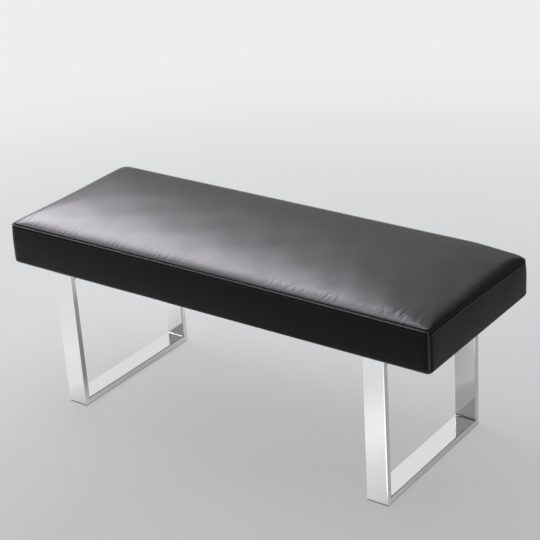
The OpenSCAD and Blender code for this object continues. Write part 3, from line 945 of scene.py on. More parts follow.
@dataclass(frozen=True)
class SeamForm:
    """The sewn seams: the ditch and rolled band under the top panel, and the ridged corner seams.

    Attributes:
        edge_h: Height of the sides' upper edge above the seam.
        rim, rim_at, rim_w: Height, place and width of the rolled band's inner half.
        ditch, ditch_at, ditch_w: Depth, place and width of the ditch inside it.
        band, band_drop, band_w: How far the rolled band stands out, its place below the edge and its width.
        band_reach: How far below the edge the band is polished by use.
        turn_in, turn_in_w: How far the cover turns in at its edge, and over what height.
        groove, groove_drop, groove_w: Depth, place and width of the stitched groove under the band.
        ridge, ridge_drop, ridge_w: Height, place and width of the faint ridge under the groove.
        corner_groove, corner_groove_w: Depth and width of a corner seam's groove.
        corner_ridge, corner_ridge_at, corner_ridge_w: Height, place and width of the ridges beside it.
        corner_foot: Height above the lower edge over which a corner seam's relief sets in.
        corner_top, corner_top_fade: Where it sets in below the edge, and over what height.
        corner_calm, calm_share: Where the band is lower beside a corner, and the share that is left there.
        knot, knot_w: Height and width of the bunched band at a corner.
    """

    edge_h: float = 1.2 * MM
    rim: float = 2.0 * MM
    rim_at: float = -0.3 * MM
    rim_w: float = 0.9 * MM
    ditch: float = 2.9 * MM
    ditch_at: float = 1.3 * MM
    ditch_w: float = 0.9 * MM
    band: float = 1.9 * MM
    band_drop: float = 1.8 * MM
    band_w: float = 1.5 * MM
    # band_reach: How far below the edge the band gets the glossier finish, a painted highlight.
    band_reach: float = 3.2 * MM
    turn_in: float = 0.7 * MM
    turn_in_w: float = 0.5 * MM
    groove: float = 1.6 * MM
    groove_drop: float = 5.0 * MM
    groove_w: float = 1.1 * MM
    ridge: float = 0.5 * MM
    ridge_drop: float = 7.6 * MM
    ridge_w: float = 1.3 * MM
    corner_groove: float = 1.3 * MM
    corner_groove_w: float = 0.8 * MM
    corner_ridge: float = 1.2 * MM
    corner_ridge_at: float = 2.2 * MM
    corner_ridge_w: float = 1.1 * MM
    corner_foot: float = 6 * MM
    corner_top: float = 2 * MM
    corner_top_fade: float = 4 * MM
    corner_calm: float = 16 * MM
    calm_share: float = 0.5
    knot: float = 0.9 * MM
    knot_w: float = 2.4 * MM

    def rim_height(self, depth: np.ndarray) -> np.ndarray:
        """Height of the top's edge above its crown: a ditch, and outside it the rolled band's inner half."""
        rolled = self.rim * bump_shape(depth, self.rim_at, self.rim_w)
        return rolled - self.ditch * bump_shape(depth, self.ditch_at, self.ditch_w)

    def inset(self, drop: np.ndarray, from_corner: np.ndarray, height: np.ndarray) -> np.ndarray:
        """How far the seams press the cover in, or raise it where negative.

        Args:
            drop: Distance below the top seam.
            from_corner: Distance along the side from the corner seam.
            height: Height above the lower edge.

        Returns:
            The inset of each point.
        """
        calm = self.calm_share + (1 - self.calm_share) * smooth_step(from_corner / self.corner_calm)
        across = (self.turn_in * bump_shape(drop, 0.0, self.turn_in_w)
                  - calm * self.band * bump_shape(drop, self.band_drop, self.band_w)
                  + self.groove * bump_shape(drop, self.groove_drop, self.groove_w)
                  - calm * self.ridge * bump_shape(drop, self.ridge_drop, self.ridge_w))
        upright = (self.corner_groove * bump_shape(from_corner, 0.0, self.corner_groove_w)
                   - self.corner_ridge * bump_shape(from_corner, self.corner_ridge_at, self.corner_ridge_w))
        upright = upright * smooth_step(height / self.corner_foot)
        upright = upright * smooth_step((drop - self.corner_top) / self.corner_top_fade)
        at_corner = bump_shape(from_corner, 0.0, self.knot_w)
        knot = self.knot * at_corner * bump_shape(drop, self.band_drop, self.knot_w)
        return across + upright - knot


@dataclass(frozen=True)
class Gathers:
    """Fine creases that run in from the top seam, where the cover is eased onto the pad.

    Attributes:
        pitch, pitch_share: Usual distance between two creases, and the least and most share of it.
        widening: Share by which a crease is wider at its far end.
        most_slant, most_bend: How far a crease may lean, and how much it may curve.
        fade_power: How sharply a crease ends.
        seam_gap: Distance from the seam over which a crease sets in.
        lip, lip_at: Height of the lips beside a crease as a share of its depth, and their place in widths.
        end_gap: Stretch without creases at each end of a side.
        reach: How many times the longest crease is looked at.
        slow_swing, quick_swing: Share and radians per metre of two changes in strength along a side.
        swing_turn: Range of their starts, in radians.
        least_swing: Least strength where both are low.
        front_strength: Strength in the middle of the front, and its gain towards the right-hand end.
        other_strength: Strength on the other sides.
        seed: Start of the random numbers.
    """

    pitch: float = 5.2 * MM
    pitch_share: tuple = (0.5, 1.5)
    least_depth: float = 0.10 * MM
    most_depth: float = 0.72 * MM
    least_length: float = 10 * MM
    most_length: float = 62 * MM
    least_width: float = 1.7 * MM
    most_width: float = 3.4 * MM
    widening: float = 0.8
    most_slant: float = 0.35
    most_bend: float = 2.0
    fade_power: float = 1.6
    seam_gap: float = 1.2 * MM
    lip: float = 0.45
    lip_at: float = 1.7
    end_gap: float = 14 * MM
    reach: float = 1.4
    slow_swing: tuple = (0.28, 17)
    quick_swing: tuple = (0.22, 41)
    swing_turn: float = 6.28
    least_swing: float = 0.05
    front_strength: tuple = (0.95, 0.35)
    other_strength: float = 0.7
    seed: int = 7

    def crease(self, rng: np.random.Generator, strength: float, s: np.ndarray, d: np.ndarray) -> np.ndarray:
        """How deep one crease presses into the top, between the low lips beside it.

        Args:
            rng: The source of the crease's size and slant.
            strength: The crease's strength, where 1 is full.
            s: Lengths along the side from where the crease starts.
            d: Distances inward from the seam.

        Returns:
            The depths.
        """
        depth = rng.uniform(self.least_depth, self.most_depth) * strength
        length = rng.uniform(self.least_length, self.most_length) * min(1.0, 0.5 + 0.5 * strength)
        width = rng.uniform(self.least_width, self.most_width)
        slant = rng.uniform(-self.most_slant, self.most_slant)
        bend = rng.uniform(-self.most_bend, self.most_bend)
        off = s - slant * d - bend * d * d
        wide = width * (1 + self.widening * d / length)
        fade = np.exp(-((d / length) ** self.fade_power)) * smooth_step(d / self.seam_gap)
        lips = np.exp(-(((np.abs(off) - self.lip_at * wide) / wide) ** 2))
        return depth * fade * (np.exp(-((off / wide) ** 2)) - self.lip * lips)

    def dents(self, form: PadForm, points: np.ndarray) -> np.ndarray:
        """How deep the creases press into the top at each of its points.

        Args:
            form: The pad's form.
            points: Points of shape (rows, columns, 3).

        Returns:
            Depths of shape (rows, columns).
        """
        rng = np.random.default_rng(self.seed)
        top_l, top_d = form.half_top
        x, y = points[..., 0], points[..., 1]
        total = np.zeros(x.shape)
        axes = {Side.FRONT: (x, top_d + y), Side.RIGHT: (y, top_l - x),
                Side.REAR: (-x, top_d - y), Side.LEFT: (-y, top_l + x)}
        for side, (along, inward) in axes.items():
            half = top_l if side.is_long else top_d
            near = inward < self.most_length * self.reach
            s, d = along[near], inward[near]
            dent = np.zeros(s.shape)
            slow, quick, _ = rng.uniform(0, self.swing_turn, 3)
            place = -half + self.end_gap
            while place < half - self.end_gap:
                swing = (0.5 + self.slow_swing[0] * math.sin(place * self.slow_swing[1] + slow)
                         + self.quick_swing[0] * math.sin(place * self.quick_swing[1] + quick))
                middle, slope = self.front_strength
                strength = middle + slope * place / half if side is Side.FRONT else self.other_strength
                dent += self.crease(rng, max(self.least_swing, swing) * strength, s - place, d)
                place += self.pitch * rng.uniform(*self.pitch_share)
            total[near] += dent
        return total


@dataclass
class PaddedCover:
    """The cover's five panels, swollen by the padding and sewn together.

    Attributes:
        step, upright_step: Distances between the points of a side panel, along it and up it.
        fine_step, coarse_step: Distances between the top's points, along the bench and across it.
        blank_step: Distance between the points of the simulated blanks.
        pressure, stiffness, slack, frames: The simulated vinyl's pressure, stiffness, spare length and time.
        top_swell, side_swell: The largest moves that are kept.
        calm_over: Distance from a seam over which the swell sets in.
        band_calm, corner_calm, foot_calm: What stays calm under the band, beside a corner and above the fold.
        uneven_from: Distance from the seam at which the top's unevenness is full.
        hollows, ripples: Height and radians per metre, along and across, of the top's unevenness.
        side_waves: The same for the sides, whose waves start side_start radians apart.
    """

    form: PadForm
    seams: SeamForm
    gathers: Gathers
    top_finish: bpy.types.Material
    side_finish: bpy.types.Material
    step: float = 3.6 * MM
    fine_step: float = 2.6 * MM
    coarse_step: float = 5.0 * MM
    upright_step: float = 4.5 * MM
    blank_step: float = 8 * MM
    pressure: float = 4.0
    stiffness: float = 22.0
    slack: float = 0.006
    frames: int = 20
    top_swell: float = 2.5 * MM
    side_swell: float = 2.0 * MM
    calm_over: float = 14 * MM
    band_calm: float = 6 * MM
    corner_calm: float = 4 * MM
    foot_calm: float = 10 * MM
    uneven_from: float = 60 * MM
    hollows: tuple = (0.30 * MM, 31, 43)
    hollow_starts: tuple = (1.3, 0.4)
    ripples: tuple = (0.22 * MM, 67, 29)
    side_waves: tuple = (0.25 * MM, 37, 33)
    side_start: float = 2.1
    slot: str = "black_cover"

    def blank_axes(self) -> dict[Side | None, tuple[np.ndarray, np.ndarray]]:
        """Columns and rows of each panel's coarse blank.

        Returns:
            The columns and rows by side, the top's under None.
        """
        top_l, top_d = self.form.half_top
        axes = {None: (spread(-top_l, top_l, self.blank_step), spread(-top_d, top_d, self.blank_step))}
        foot = self.form.hem_z + self.form.fold
        for side in Side:
            reach = self.form.side_reach(side)[1]
            heights = spread(foot, self.form.seam_z, self.blank_step)
            axes[side] = (spread(-reach, reach, self.blank_step), heights)
        return axes

    def blank_points(self, side: Side | None, cols: np.ndarray, rows: np.ndarray) -> np.ndarray:
        """Points of a panel's coarse blank.

        Args:
            side: The panel's side, or None for the top.
            cols: The blank's columns.
            rows: The blank's rows.

        Returns:
            Points of shape (rows, columns, 3).
        """
        if side is None:
            return self.form.top_points(cols, rows)[0]
        s, z = np.meshgrid(cols, rows)
        return self.form.side_points(side, s, self.form.tuck_at(z), z, self.form.draw_at(z))

    def most_swell(self, side: Side | None) -> float:
        """The largest move that a panel's swell is held to."""
        return self.top_swell if side is None else self.side_swell

    def swell(self) -> dict[Side | None, np.ndarray]:
        """Returns:
            How far each blank's points move, of shape (rows, columns, 3), held to the panel's swell.
        """
        axes = self.blank_axes()
        blanks = {side: self.blank_points(side, *axes[side]) for side in axes}
        moved = self.inflate(list(blanks.values()))
        fields, start = {}, 0
        for side, points in blanks.items():
            rows, cols, _ = points.shape
            field = moved[start:start + rows * cols].reshape(rows, cols, 3)
            most, allowed = float(np.linalg.norm(field, axis=2).max()), self.most_swell(side)
            fields[side] = field * min(1.0, allowed / max(most, 1e-9))
            start += rows * cols
            log.info("swell of %s: %.1f mm, kept %.1f mm", side or "top", most / MM, min(most, allowed) / MM)
        return fields

    def inflate(self, blanks: list[np.ndarray]) -> np.ndarray:
        """Inflates the blanks against their pinned seams with a cloth simulation.

        Args:
            blanks: Points of each blank, the top's first.

        Returns:
            How far the points moved, one blank after the other.
        """
        faces, pinned, start = [], [], 0
        for points in blanks:
            rows, cols, _ = points.shape
            faces += grid_faces(rows, cols, start)
            j, i = np.divmod(np.arange(rows * cols), cols)
            edge = (j == 0) | (j == rows - 1) | (i == 0) | (i == cols - 1)
            pinned += (start + np.flatnonzero(edge)).tolist()
            start += rows * cols
        before = np.concatenate([points.reshape(-1, 3) for points in blanks])
        mesh = bpy.data.meshes.new("cover_blank")
        mesh.from_pydata(before.tolist(), [], faces)
        blank = bpy.data.objects.new("cover_blank", mesh)
        scene = bpy.context.scene
        scene.collection.objects.link(blank)
        blank.vertex_groups.new(name="seams").add(pinned, 1.0, "REPLACE")
        rows, cols, _ = blanks[0].shape
        blank.vertex_groups.new(name="taut").add(list(range(rows * cols, start)), 1.0, "REPLACE")
        self.set_cloth(blank.modifiers.new("swell", "CLOTH"))
        for step in range(1, self.frames + 1):
            scene.frame_set(step)
        swollen = blank.evaluated_get(bpy.context.evaluated_depsgraph_get()).to_mesh()
        after = np.empty(len(swollen.vertices) * 3)
        swollen.vertices.foreach_get("co", after)
        bpy.data.objects.remove(blank)
        bpy.data.meshes.remove(mesh)
        scene.frame_set(1)
        return after.reshape(-1, 3) - before

    def set_cloth(self, cloth: bpy.types.ClothModifier) -> None:
        """Sets the vinyl's stiffness, its pinned seams, the sides' slack and the pressure behind it.

        Args:
            cloth: The simulation's modifier.
        """
        cloth.settings.vertex_group_mass = "seams"
        cloth.settings.quality = 6
        cloth.settings.mass = 0.4
        cloth.settings.tension_stiffness = self.stiffness
        cloth.settings.compression_stiffness = self.stiffness
        cloth.settings.shear_stiffness = 10
        cloth.settings.bending_stiffness = 3
        cloth.settings.vertex_group_shrink = "taut"
        cloth.settings.shrink_min = -self.slack
        cloth.settings.shrink_max = 0.0
        cloth.settings.use_pressure = True
        cloth.settings.uniform_pressure_force = self.pressure
        cloth.settings.effector_weights.gravity = 0
        cloth.point_cache.frame_start = 1
        cloth.point_cache.frame_end = self.frames

    def unevenness(self, points: np.ndarray, depth: np.ndarray) -> np.ndarray:
        """Slight rises and hollows of a used seat, which fade towards the seam.

        Args:
            points: The top's points, of shape (rows, columns, 3).
            depth: Their distances from the seam.

        Returns:
            The heights.
        """
        x, y = points[..., 0], points[..., 1]
        start_x, start_y = self.hollow_starts
        height, along, across = self.hollows
        hollows = height * np.sin(x * along + start_x) * np.sin(y * across + start_y)
        height, along, across = self.ripples
        ripples = height * np.sin(x * along + y * across)
        return (hollows + ripples) * smooth_step(depth / self.uneven_from)

    def top_panel(self, swell: np.ndarray) -> Piece:
        """Makes the crowned top panel, whose edge turns down into the seam's ditch.

        Args:
            swell: The moves of the blank's points.

        Returns:
            The panel.
        """
        top_l, top_d = self.form.half_top
        edge = MM * np.array([0, 0.3, 0.6, 0.9, 1.2, 1.5, 1.8, 2.2, 2.6, 3.1, 3.8, 4.8, 6.2, 8.2, 10.8,
                              13.8, 17.0])
        us, vs = graded(top_l, edge, self.fine_step), graded(top_d, edge, self.coarse_step)
        points, depth = self.form.top_points(us, vs)
        cols, rows = self.blank_axes()[None]
        points = points + sample(swell, cols, rows, us, vs) * smooth_step(depth / self.calm_over)[..., None]
        dents = self.gathers.dents(self.form, points)
        points = points + grid_normals(points) * (self.unevenness(points, depth) - dents)[..., None]
        points[..., 2] += self.seams.rim_height(depth)
        rows_n, cols_n, _ = points.shape
        piece = make_piece("cover_top", points, grid_faces(rows_n, cols_n), self.slot, self.top_finish)
        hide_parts("cover_top_panel")
        return piece

    def side_rows(self) -> tuple[np.ndarray, np.ndarray, np.ndarray]:
        """The rows of a side panel, from its hem up to the top seam.

        Returns:
            The base inset, the height and the draw of each row.
        """
        form = self.form
        flat = np.array([1.0, 0.5, 0.15]) * (form.hem - form.fold) + form.fold
        angle = np.radians(np.linspace(0, 90, 8))
        fold_inset, fold_z = form.fold * (1 - np.sin(angle)), form.hem_z + form.fold * (1 - np.cos(angle))
        near = np.array([0, 0.25, 0.5, 0.8, 1.1, 1.5, 1.9, 2.3, 2.7, 3.1, 3.5, 3.9, 4.3, 4.7, 5.1, 5.5, 5.9,
                         6.4, 7.0, 7.6, 8.3, 9.1, 10.2, 12.5, 16.5])
        z_near = form.seam_z + self.seams.edge_h - near[::-1] * MM
        z_low = spread(form.hem_z + form.fold, z_near[0], self.upright_step)[1:-1]
        z_side = np.concatenate([z_low, z_near])
        inset = np.concatenate([flat, fold_inset, form.tuck_at(z_side)])
        z = np.concatenate([np.full(len(flat), form.hem_z), fold_z, z_side])
        draw = np.concatenate([np.zeros(len(flat) + len(fold_z)), form.draw_at(z_side)])
        return inset, z, draw

    def side_surface(
        self, side: Side, s: np.ndarray, inset: np.ndarray, z: np.ndarray, draw: np.ndarray
    ) -> np.ndarray:
        """Points of a side panel with its seams' relief.

        Args:
            side: The side.
            s: Lengths along the outline from the side's middle.
            inset: Distances inward from the pad's outline.
            z: Heights.
            draw: How far the side is drawn in midway.

        Returns:
            Points of shape (..., 3).
        """
        reach = self.form.side_reach(side)[1]
        drop = self.form.seam_z + self.seams.edge_h - z
        pressed = self.seams.inset(drop, reach - np.abs(s), z - self.form.hem_z)
        pressed = np.where(z <= self.form.hem_z, 0.0, pressed)
        return self.form.side_points(side, s, inset + pressed, z, draw)

    def sheen_painted_faces(self, side: Side, s_axis: np.ndarray, z: np.ndarray) -> np.ndarray:
        """Finds the faces that get the seat's glossier finish, a painted highlight: the rolled band and the
        corner ridges.

        Args:
            side: The panel's side.
            s_axis: The panel's columns.
            z: The panel's rows.

        Returns:
            Whether each face gets the glossier finish, row by row.
        """
        row_drop = self.form.seam_z + self.seams.edge_h - (z[1:] + z[:-1]) / 2
        from_corner = self.form.side_reach(side)[1] - np.abs(s_axis[1:] + s_axis[:-1]) / 2
        on_band = row_drop < self.seams.band_reach
        on_ridge = np.abs(from_corner - self.seams.corner_ridge_at) < self.seams.corner_ridge_w
        upright = z[1:] > self.form.hem_z
        return (on_band[:, None] | (on_ridge[None, :] & upright[:, None])).ravel()

    def side_panel(self, side: Side, swell: np.ndarray) -> Piece:
        """Makes one side panel, from its turned-under hem up to the top seam.

        Args:
            side: The panel's side.
            swell: The moves of the blank's points.

        Returns:
            The panel.
        """
        reach = self.form.side_reach(side)[1]
        edge = np.array([0, 0.4, 0.85, 1.35, 1.9, 2.5, 3.2, 4.1, 5.4, 7.2, 9.6, 12.6, 16.0]) * MM
        s_axis = graded(reach, edge, self.step)
        inset, z, draw = self.side_rows()
        s_grid, z_grid = np.meshgrid(s_axis, z)
        points = self.side_surface(side, s_grid, inset[:, None], z_grid, draw[:, None])
        cols, rows = self.blank_axes()[side]
        moved = sample(swell, cols, rows, s_axis, z)
        under_band = smooth_step((self.form.seam_z - z_grid - self.band_calm) / self.calm_over)
        above_fold = smooth_step((z_grid - rows[0]) / self.foot_calm)
        off_corner = smooth_step((reach - np.abs(s_grid) - self.corner_calm) / self.calm_over)
        calm = under_band * above_fold * off_corner
        normals = grid_normals(points)
        outward = np.maximum((moved * normals).sum(axis=2), 0.0)
        points = points + normals * (outward * calm)[..., None]
        height, along, up = self.side_waves
        waves = np.sin(s_grid * along + side.value * self.side_start) * np.sin((z_grid - rows[0]) * up)
        points = points + normals * (height * waves * calm)[..., None]
        faces = grid_faces(len(z), len(s_axis))
        piece = make_piece(f"cover_{side.name.lower()}", points, faces, self.slot, self.side_finish)
        # Painted highlight: the rolled band and the corner ridges take the seat's glossier finish, so that
        # they catch the light.
        piece.data.materials.append(self.top_finish)
        wear_and_sheen = self.sheen_painted_faces(side, s_axis, z).astype(int).tolist()
        piece.data.polygons.foreach_set("material_index", wear_and_sheen)
        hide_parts(side.panel)
        return piece

    def build(self) -> list[Piece]:
        """Makes all five panels.

        Returns:
            The panels, the top first.
        """
        swell = self.swell()
        return [self.top_panel(swell[None])] + [self.side_panel(side, swell[side]) for side in Side]


@dataclass
class Stitching:
    """The sewing thread: a row of stitches under the top seam's band, and one down each corner seam.

    Attributes:
        pitch, length, thick: Distance between stitches, and a stitch's length and thickness.
        end_gap: Stretch without stitches at each end of a side.
        corner_stand, corner_drop: How far the corner's stitches stand out, and where they begin.
        sides, rings: Points round a stitch and along it.
        thin_end, rise, sink: Share of the thickness at a stitch's ends, of its arch and of its dip.
    """

    cover: PaddedCover
    thread: bpy.types.Material
    heavy_thread: bpy.types.Material
    pitch: float = 6.0 * MM
    length: float = 4.3 * MM
    thick: float = 0.85 * MM
    end_gap: float = 4 * MM
    corner_pitch: float = 5.0 * MM
    corner_length: float = 3.4 * MM
    corner_stand: float = 1.0 * MM
    corner_thick: float = 1.5 * MM
    corner_drop: float = 1 * MM
    sides: int = 6
    rings: int = 6
    thin_end: float = 0.45
    rise: float = 0.45
    sink: float = 0.25

    def stitch(self, start: np.ndarray, end: np.ndarray, out: np.ndarray, thick: float) -> np.ndarray:
        """Points of one stitch: a thread that rises out of the cover and dips back into it.

        Args:
            start: Where the thread leaves the cover.
            end: Where it goes back in.
            out: The outward direction.
            thick: The thread's thickness.

        Returns:
            Rings of points of shape (rings, sides, 3).
        """
        along = end - start
        length = np.linalg.norm(along)
        along = along / length
        across = np.cross(along, out)
        angles = np.linspace(0, 2 * math.pi, self.sides, endpoint=False)
        rings = []
        for t in np.linspace(0, 1, self.rings):
            bow = math.sin(math.pi * t)
            radius = thick / 2 * (self.thin_end + (1 - self.thin_end) * bow ** 0.5)
            centre = start + along * length * t + out * (bow * thick * self.rise - thick * self.sink)
            rings.append([centre + radius * (math.cos(a) * across + math.sin(a) * out) for a in angles])
        return np.array(rings)

    def row(self, name: str, stitches: list[np.ndarray], thread: bpy.types.Material) -> Piece:
        """Joins stitches into one piece of thread work.

        Args:
            name: The piece's name.
            stitches: The rings of each stitch.
            thread: The thread's finish.

        Returns:
            The piece.
        """
        faces, start = [], 0
        for rings in stitches:
            n, sides, _ = rings.shape
            faces += grid_faces(n, sides, start, wrap=True)
            faces.append(tuple(range(start, start + sides)))
            faces.append(tuple(reversed(range(start + (n - 1) * sides, start + n * sides))))
            start += n * sides
        return make_piece(name, np.concatenate(stitches), faces, self.cover.slot, thread)

    def surface(self, side: Side, s: float, z: float) -> np.ndarray:
        """One point on a side panel, in the bottom of its seams.

        Args:
            side: The panel's side.
            s: Length along the outline from the side's middle.
            z: Height.

        Returns:
            The point.
        """
        form = self.cover.form
        height = np.array([z])
        inset, draw = form.tuck_at(height), form.draw_at(height)
        return self.cover.side_surface(side, np.array([s]), inset, height, draw)[0]

    def band_row(self, side: Side) -> list[np.ndarray]:
        """Stitches in the groove under the band of one side.

        Args:
            side: The side.

        Returns:
            The rings of each stitch.
        """
        form = self.cover.form
        reach = form.side_reach(side)[1]
        z = form.seam_z + self.cover.seams.edge_h - self.cover.seams.groove_drop
        stitches = []
        count = int((2 * reach - 2 * self.end_gap) / self.pitch)
        for i in range(count):
            s = (i - (count - 1) / 2) * self.pitch
            start = self.surface(side, s - self.length / 2, z)
            end = self.surface(side, s + self.length / 2, z)
            out = np.cross(end - start, [0.0, 0.0, 1.0])
            stitches.append(self.stitch(start, end, out / np.linalg.norm(out), self.thick))
        return stitches

    def corner_row(self, side: Side) -> list[np.ndarray]:
        """Stitches down the corner seam at the right-hand end of one side.

        Args:
            side: The side.

        Returns:
            The rings of each stitch.
        """
        form = self.cover.form
        reach = form.side_reach(side)[1]
        top = form.seam_z + self.cover.seams.edge_h - self.corner_drop
        stitches = []
        count = int((top - form.hem_z - form.fold) / self.corner_pitch)
        for i in range(count):
            z = top - i * self.corner_pitch
            start, end = self.surface(side, reach, z), self.surface(side, reach, z - self.corner_length)
            out = np.array([np.sign(start[0]), np.sign(start[1]), 0.0]) / math.sqrt(2)
            stand = out * self.corner_stand
            stitches.append(self.stitch(start + stand, end + stand, out, self.corner_thick))
        return stitches

    def build(self) -> list[Piece]:
        """Sews every row.

        Returns:
            The thread work of the top seam and of the corner seams.
        """
        band = [stitch for side in Side for stitch in self.band_row(side)]
        corners = [stitch for side in Side for stitch in self.corner_row(side)]
        return [self.row("top_seam_stitches", band, self.thread),
                self.row("corner_seam_stitches", corners, self.heavy_thread)]


@dataclass
class PadFilling:
    """The foam and wadding inside the cover.

    Attributes:
        skin: Distance from the cover's outside to the padding at the sides.
        quilt_top, quilt_under, foam_top: Drops of the wadding's faces and the foam's below the cover's top.
        deck_gap: Play between the foam and the timber base.
        layer_step, strip_step, upright_step: Distances between the meshes' points.
    """

    form: PadForm
    foam: bpy.types.Material
    wadding: bpy.types.Material
    skin: float = 1.6 * MM
    quilt_top: float = 1.5 * MM
    quilt_under: float = 7.4 * MM
    foam_top: float = 7.8 * MM
    deck_gap: float = 0.2 * MM
    layer_step: float = 14 * MM
    strip_step: float = 20 * MM
    upright_step: float = 7 * MM

    def layer(
        self, name: str, slot: str, material: bpy.types.Material, over: float, under: float | None
    ) -> Piece:
        """Makes a closed crowned layer under the top.

        Args:
            name: The piece's name.
            slot: Handed on to make_piece, which does not use it.
            material: The finish.
            over: Drop of its upper face below the cover's outside.
            under: Drop of its lower face, or None for a flat one on the deck.

        Returns:
            The new piece.
        """
        top_l, top_d = self.form.half_top
        half_l, half_d = top_l - self.skin, top_d - self.skin
        grade = np.array([0, 0.8, 2.5, 6, 11, 18, 26]) * MM
        us, vs = graded(half_l, grade, self.layer_step), graded(half_d, grade, self.layer_step)
        points, _ = self.form.top_points(us * top_l / half_l, vs * top_d / half_d)
        points[..., 0] *= half_l / top_l
        points[..., 1] *= half_d / top_d
        upper, lower = points.copy(), points.copy()
        upper[..., 2] -= over
        if under is None:
            lower[..., 2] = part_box("seat_deck")[1].z + self.deck_gap
        else:
            lower[..., 2] -= under
        return make_piece(name, *closed_sheet(upper, lower), slot, material)

    def edge_strip(self) -> Piece:
        """Makes the closed hoop of foam round the base, rounded under where the cover turns in.

        Returns:
            The hoop.
        """
        form = self.form
        inner = form.fold - self.deck_gap
        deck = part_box("seat_deck")[1].z
        angle = np.radians(np.linspace(0, 90, 7))[1:]
        arc = form.fold - self.skin
        z_side = spread(form.hem_z + form.fold, deck, self.upright_step)[1:]
        arc_inset, arc_z = form.fold - arc * np.sin(angle), form.hem_z + form.fold - arc * np.cos(angle)
        inset = np.concatenate([[inner], arc_inset, form.tuck_at(z_side) + self.skin, [inner]])
        z = np.concatenate([[form.hem_z + self.skin], arc_z, z_side, [deck]])
        hoop = []
        for side in Side:
            reach = form.side_reach(side)[1]
            s = graded(reach, np.array([0, 4, 8, 12, 16]) * MM, self.strip_step)[:-1]
            s_grid, z_grid = np.meshgrid(s, z)
            hoop.append(form.side_points(side, s_grid, inset[:, None], z_grid, form.draw_at(z_grid)))
        points = np.concatenate(hoop, axis=1)
        rows, cols, _ = points.shape
        faces = grid_faces(rows, cols, wrap=True)
        last = (rows - 1) * cols
        for i in range(cols):
            after = (i + 1) % cols
            faces.append((last + i, last + after, after, i))
        return make_piece("edge_foam_strip", points, faces, "foam", self.foam)

    def build(self) -> list[Piece]:
        """Makes the foam block, its wadding and the foam strip round the base.

        Returns:
            The three pieces.
        """
        block = self.layer("seat_foam_block", "foam", self.foam, self.foam_top, None)
        quilt = self.layer("wadding_layer", "wadding", self.wadding, self.quilt_top, self.quilt_under)
        strip = self.edge_strip()
        soft = ((block, "seat_foam", 0.95), (quilt, "wadding", 0.7), (strip, "edge_foam", 0.95))
        for piece, node, fill in soft:
            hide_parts(node)
        return [block, quilt, strip]


@dataclass
class DustCover:
    """The thin black cloth stapled under the base, drawn tight at its edge and slack in its middle.

    Attributes:
        thick, lift: The cloth's thickness, and its height above the node's underside where it is tight.
        sag, ripple, ripple_waves: How far it hangs, and the share and radians per metre of its ripples.
        tight_edge, edge_fade, rail_fade: Width that stays tight, and how it slackens inward and beside a leg.
    """

    material: bpy.types.Material
    thick: float = 0.45 * MM
    lift: float = 0.1 * MM
    sag: float = 2.6 * MM
    step: float = 6 * MM
    tight_edge: float = 12 * MM
    edge_fade: float = 90 * MM
    rail_fade: float = 70 * MM
    ripple: float = 0.25
    ripple_waves: tuple = (83, 11, 47)

    def build(self) -> Piece:
        """Makes the cloth.

        Returns:
            The new piece.
        """
        low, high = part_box("dust_cover")
        xs, ys = spread(low.x, high.x, self.step), spread(low.y, high.y, self.step)
        x, y = np.meshgrid(xs, ys)
        inward = np.minimum(np.minimum(x - low.x, high.x - x), np.minimum(y - low.y, high.y - y))
        slack = smooth_step((inward - self.tight_edge) / self.edge_fade)
        for node in ("left_top_rail", "right_top_rail"):
            rail_low, rail_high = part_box(node)
            away = np.maximum(np.maximum(rail_low.x - x, x - rail_high.x), 0.0)
            slack = slack * smooth_step(away / self.rail_fade)
        along, skew, across = self.ripple_waves
        ripple = self.ripple * np.sin(x * along + y * skew) * np.sin(y * across) + (1 - self.ripple)
        z = low.z + self.lift - self.sag * slack * ripple
        upper, lower = np.stack([x, y, z + self.thick], axis=-1), np.stack([x, y, z], axis=-1)
        piece = make_piece("dust_cover_cloth", *closed_sheet(upper, lower), "dust_cloth", self.material)
        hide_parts("dust_cover")
        return piece


@dataclass
class CarriedNodes:
    """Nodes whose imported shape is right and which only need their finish."""

    finish: bpy.types.Material
    nodes: tuple[str, ...]

    def build(self) -> list[Piece]:
        """Gives every node its finish.

        Returns:
            The nodes' objects.
        """
        dressed = []
        for name in self.nodes:
            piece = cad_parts[name]
            for slot in piece.material_slots:
                slot.material = self.finish
            dressed.append(piece)
        return dressed


def both(*names: str) -> tuple[str, ...]:
    """The left and the right node of each name."""
    return tuple(f"{hand}_{name}" for hand in ("left", "right") for name in names)


@dataclass(frozen=True)
class Softbox:
    """A rectangular light that faces a point, whose radiance is 1 where its face would look white."""

    name: str
    place: tuple
    aim: tuple
    size: tuple
    radiance: float
    roll: float = 0.0
    tint: tuple = (1.0, 0.97, 1.04)

    def hang(self) -> None:
        """Makes the light, turned to its point and about its own axis."""
        data = bpy.data.lights.new(self.name, "AREA")
        data.shape = "RECTANGLE"
        data.size, data.size_y = self.size
        data.energy = self.radiance * math.pi * self.size[0] * self.size[1]
        data.color = self.tint
        forward = (Vector(self.aim) - Vector(self.place)).normalized()
        level = forward.cross(Vector((0.0, 0.0, 1.0))).normalized()
        across = level * math.cos(self.roll) + level.cross(forward) * math.sin(self.roll)
        turn = Matrix((across, -forward.cross(across), -forward)).transposed().to_4x4()
        lamp = bpy.data.objects.new(self.name, data)
        lamp.matrix_world = Matrix.Translation(self.place) @ turn
        lamp.visible_camera = False
        bpy.context.scene.collection.objects.link(lamp)


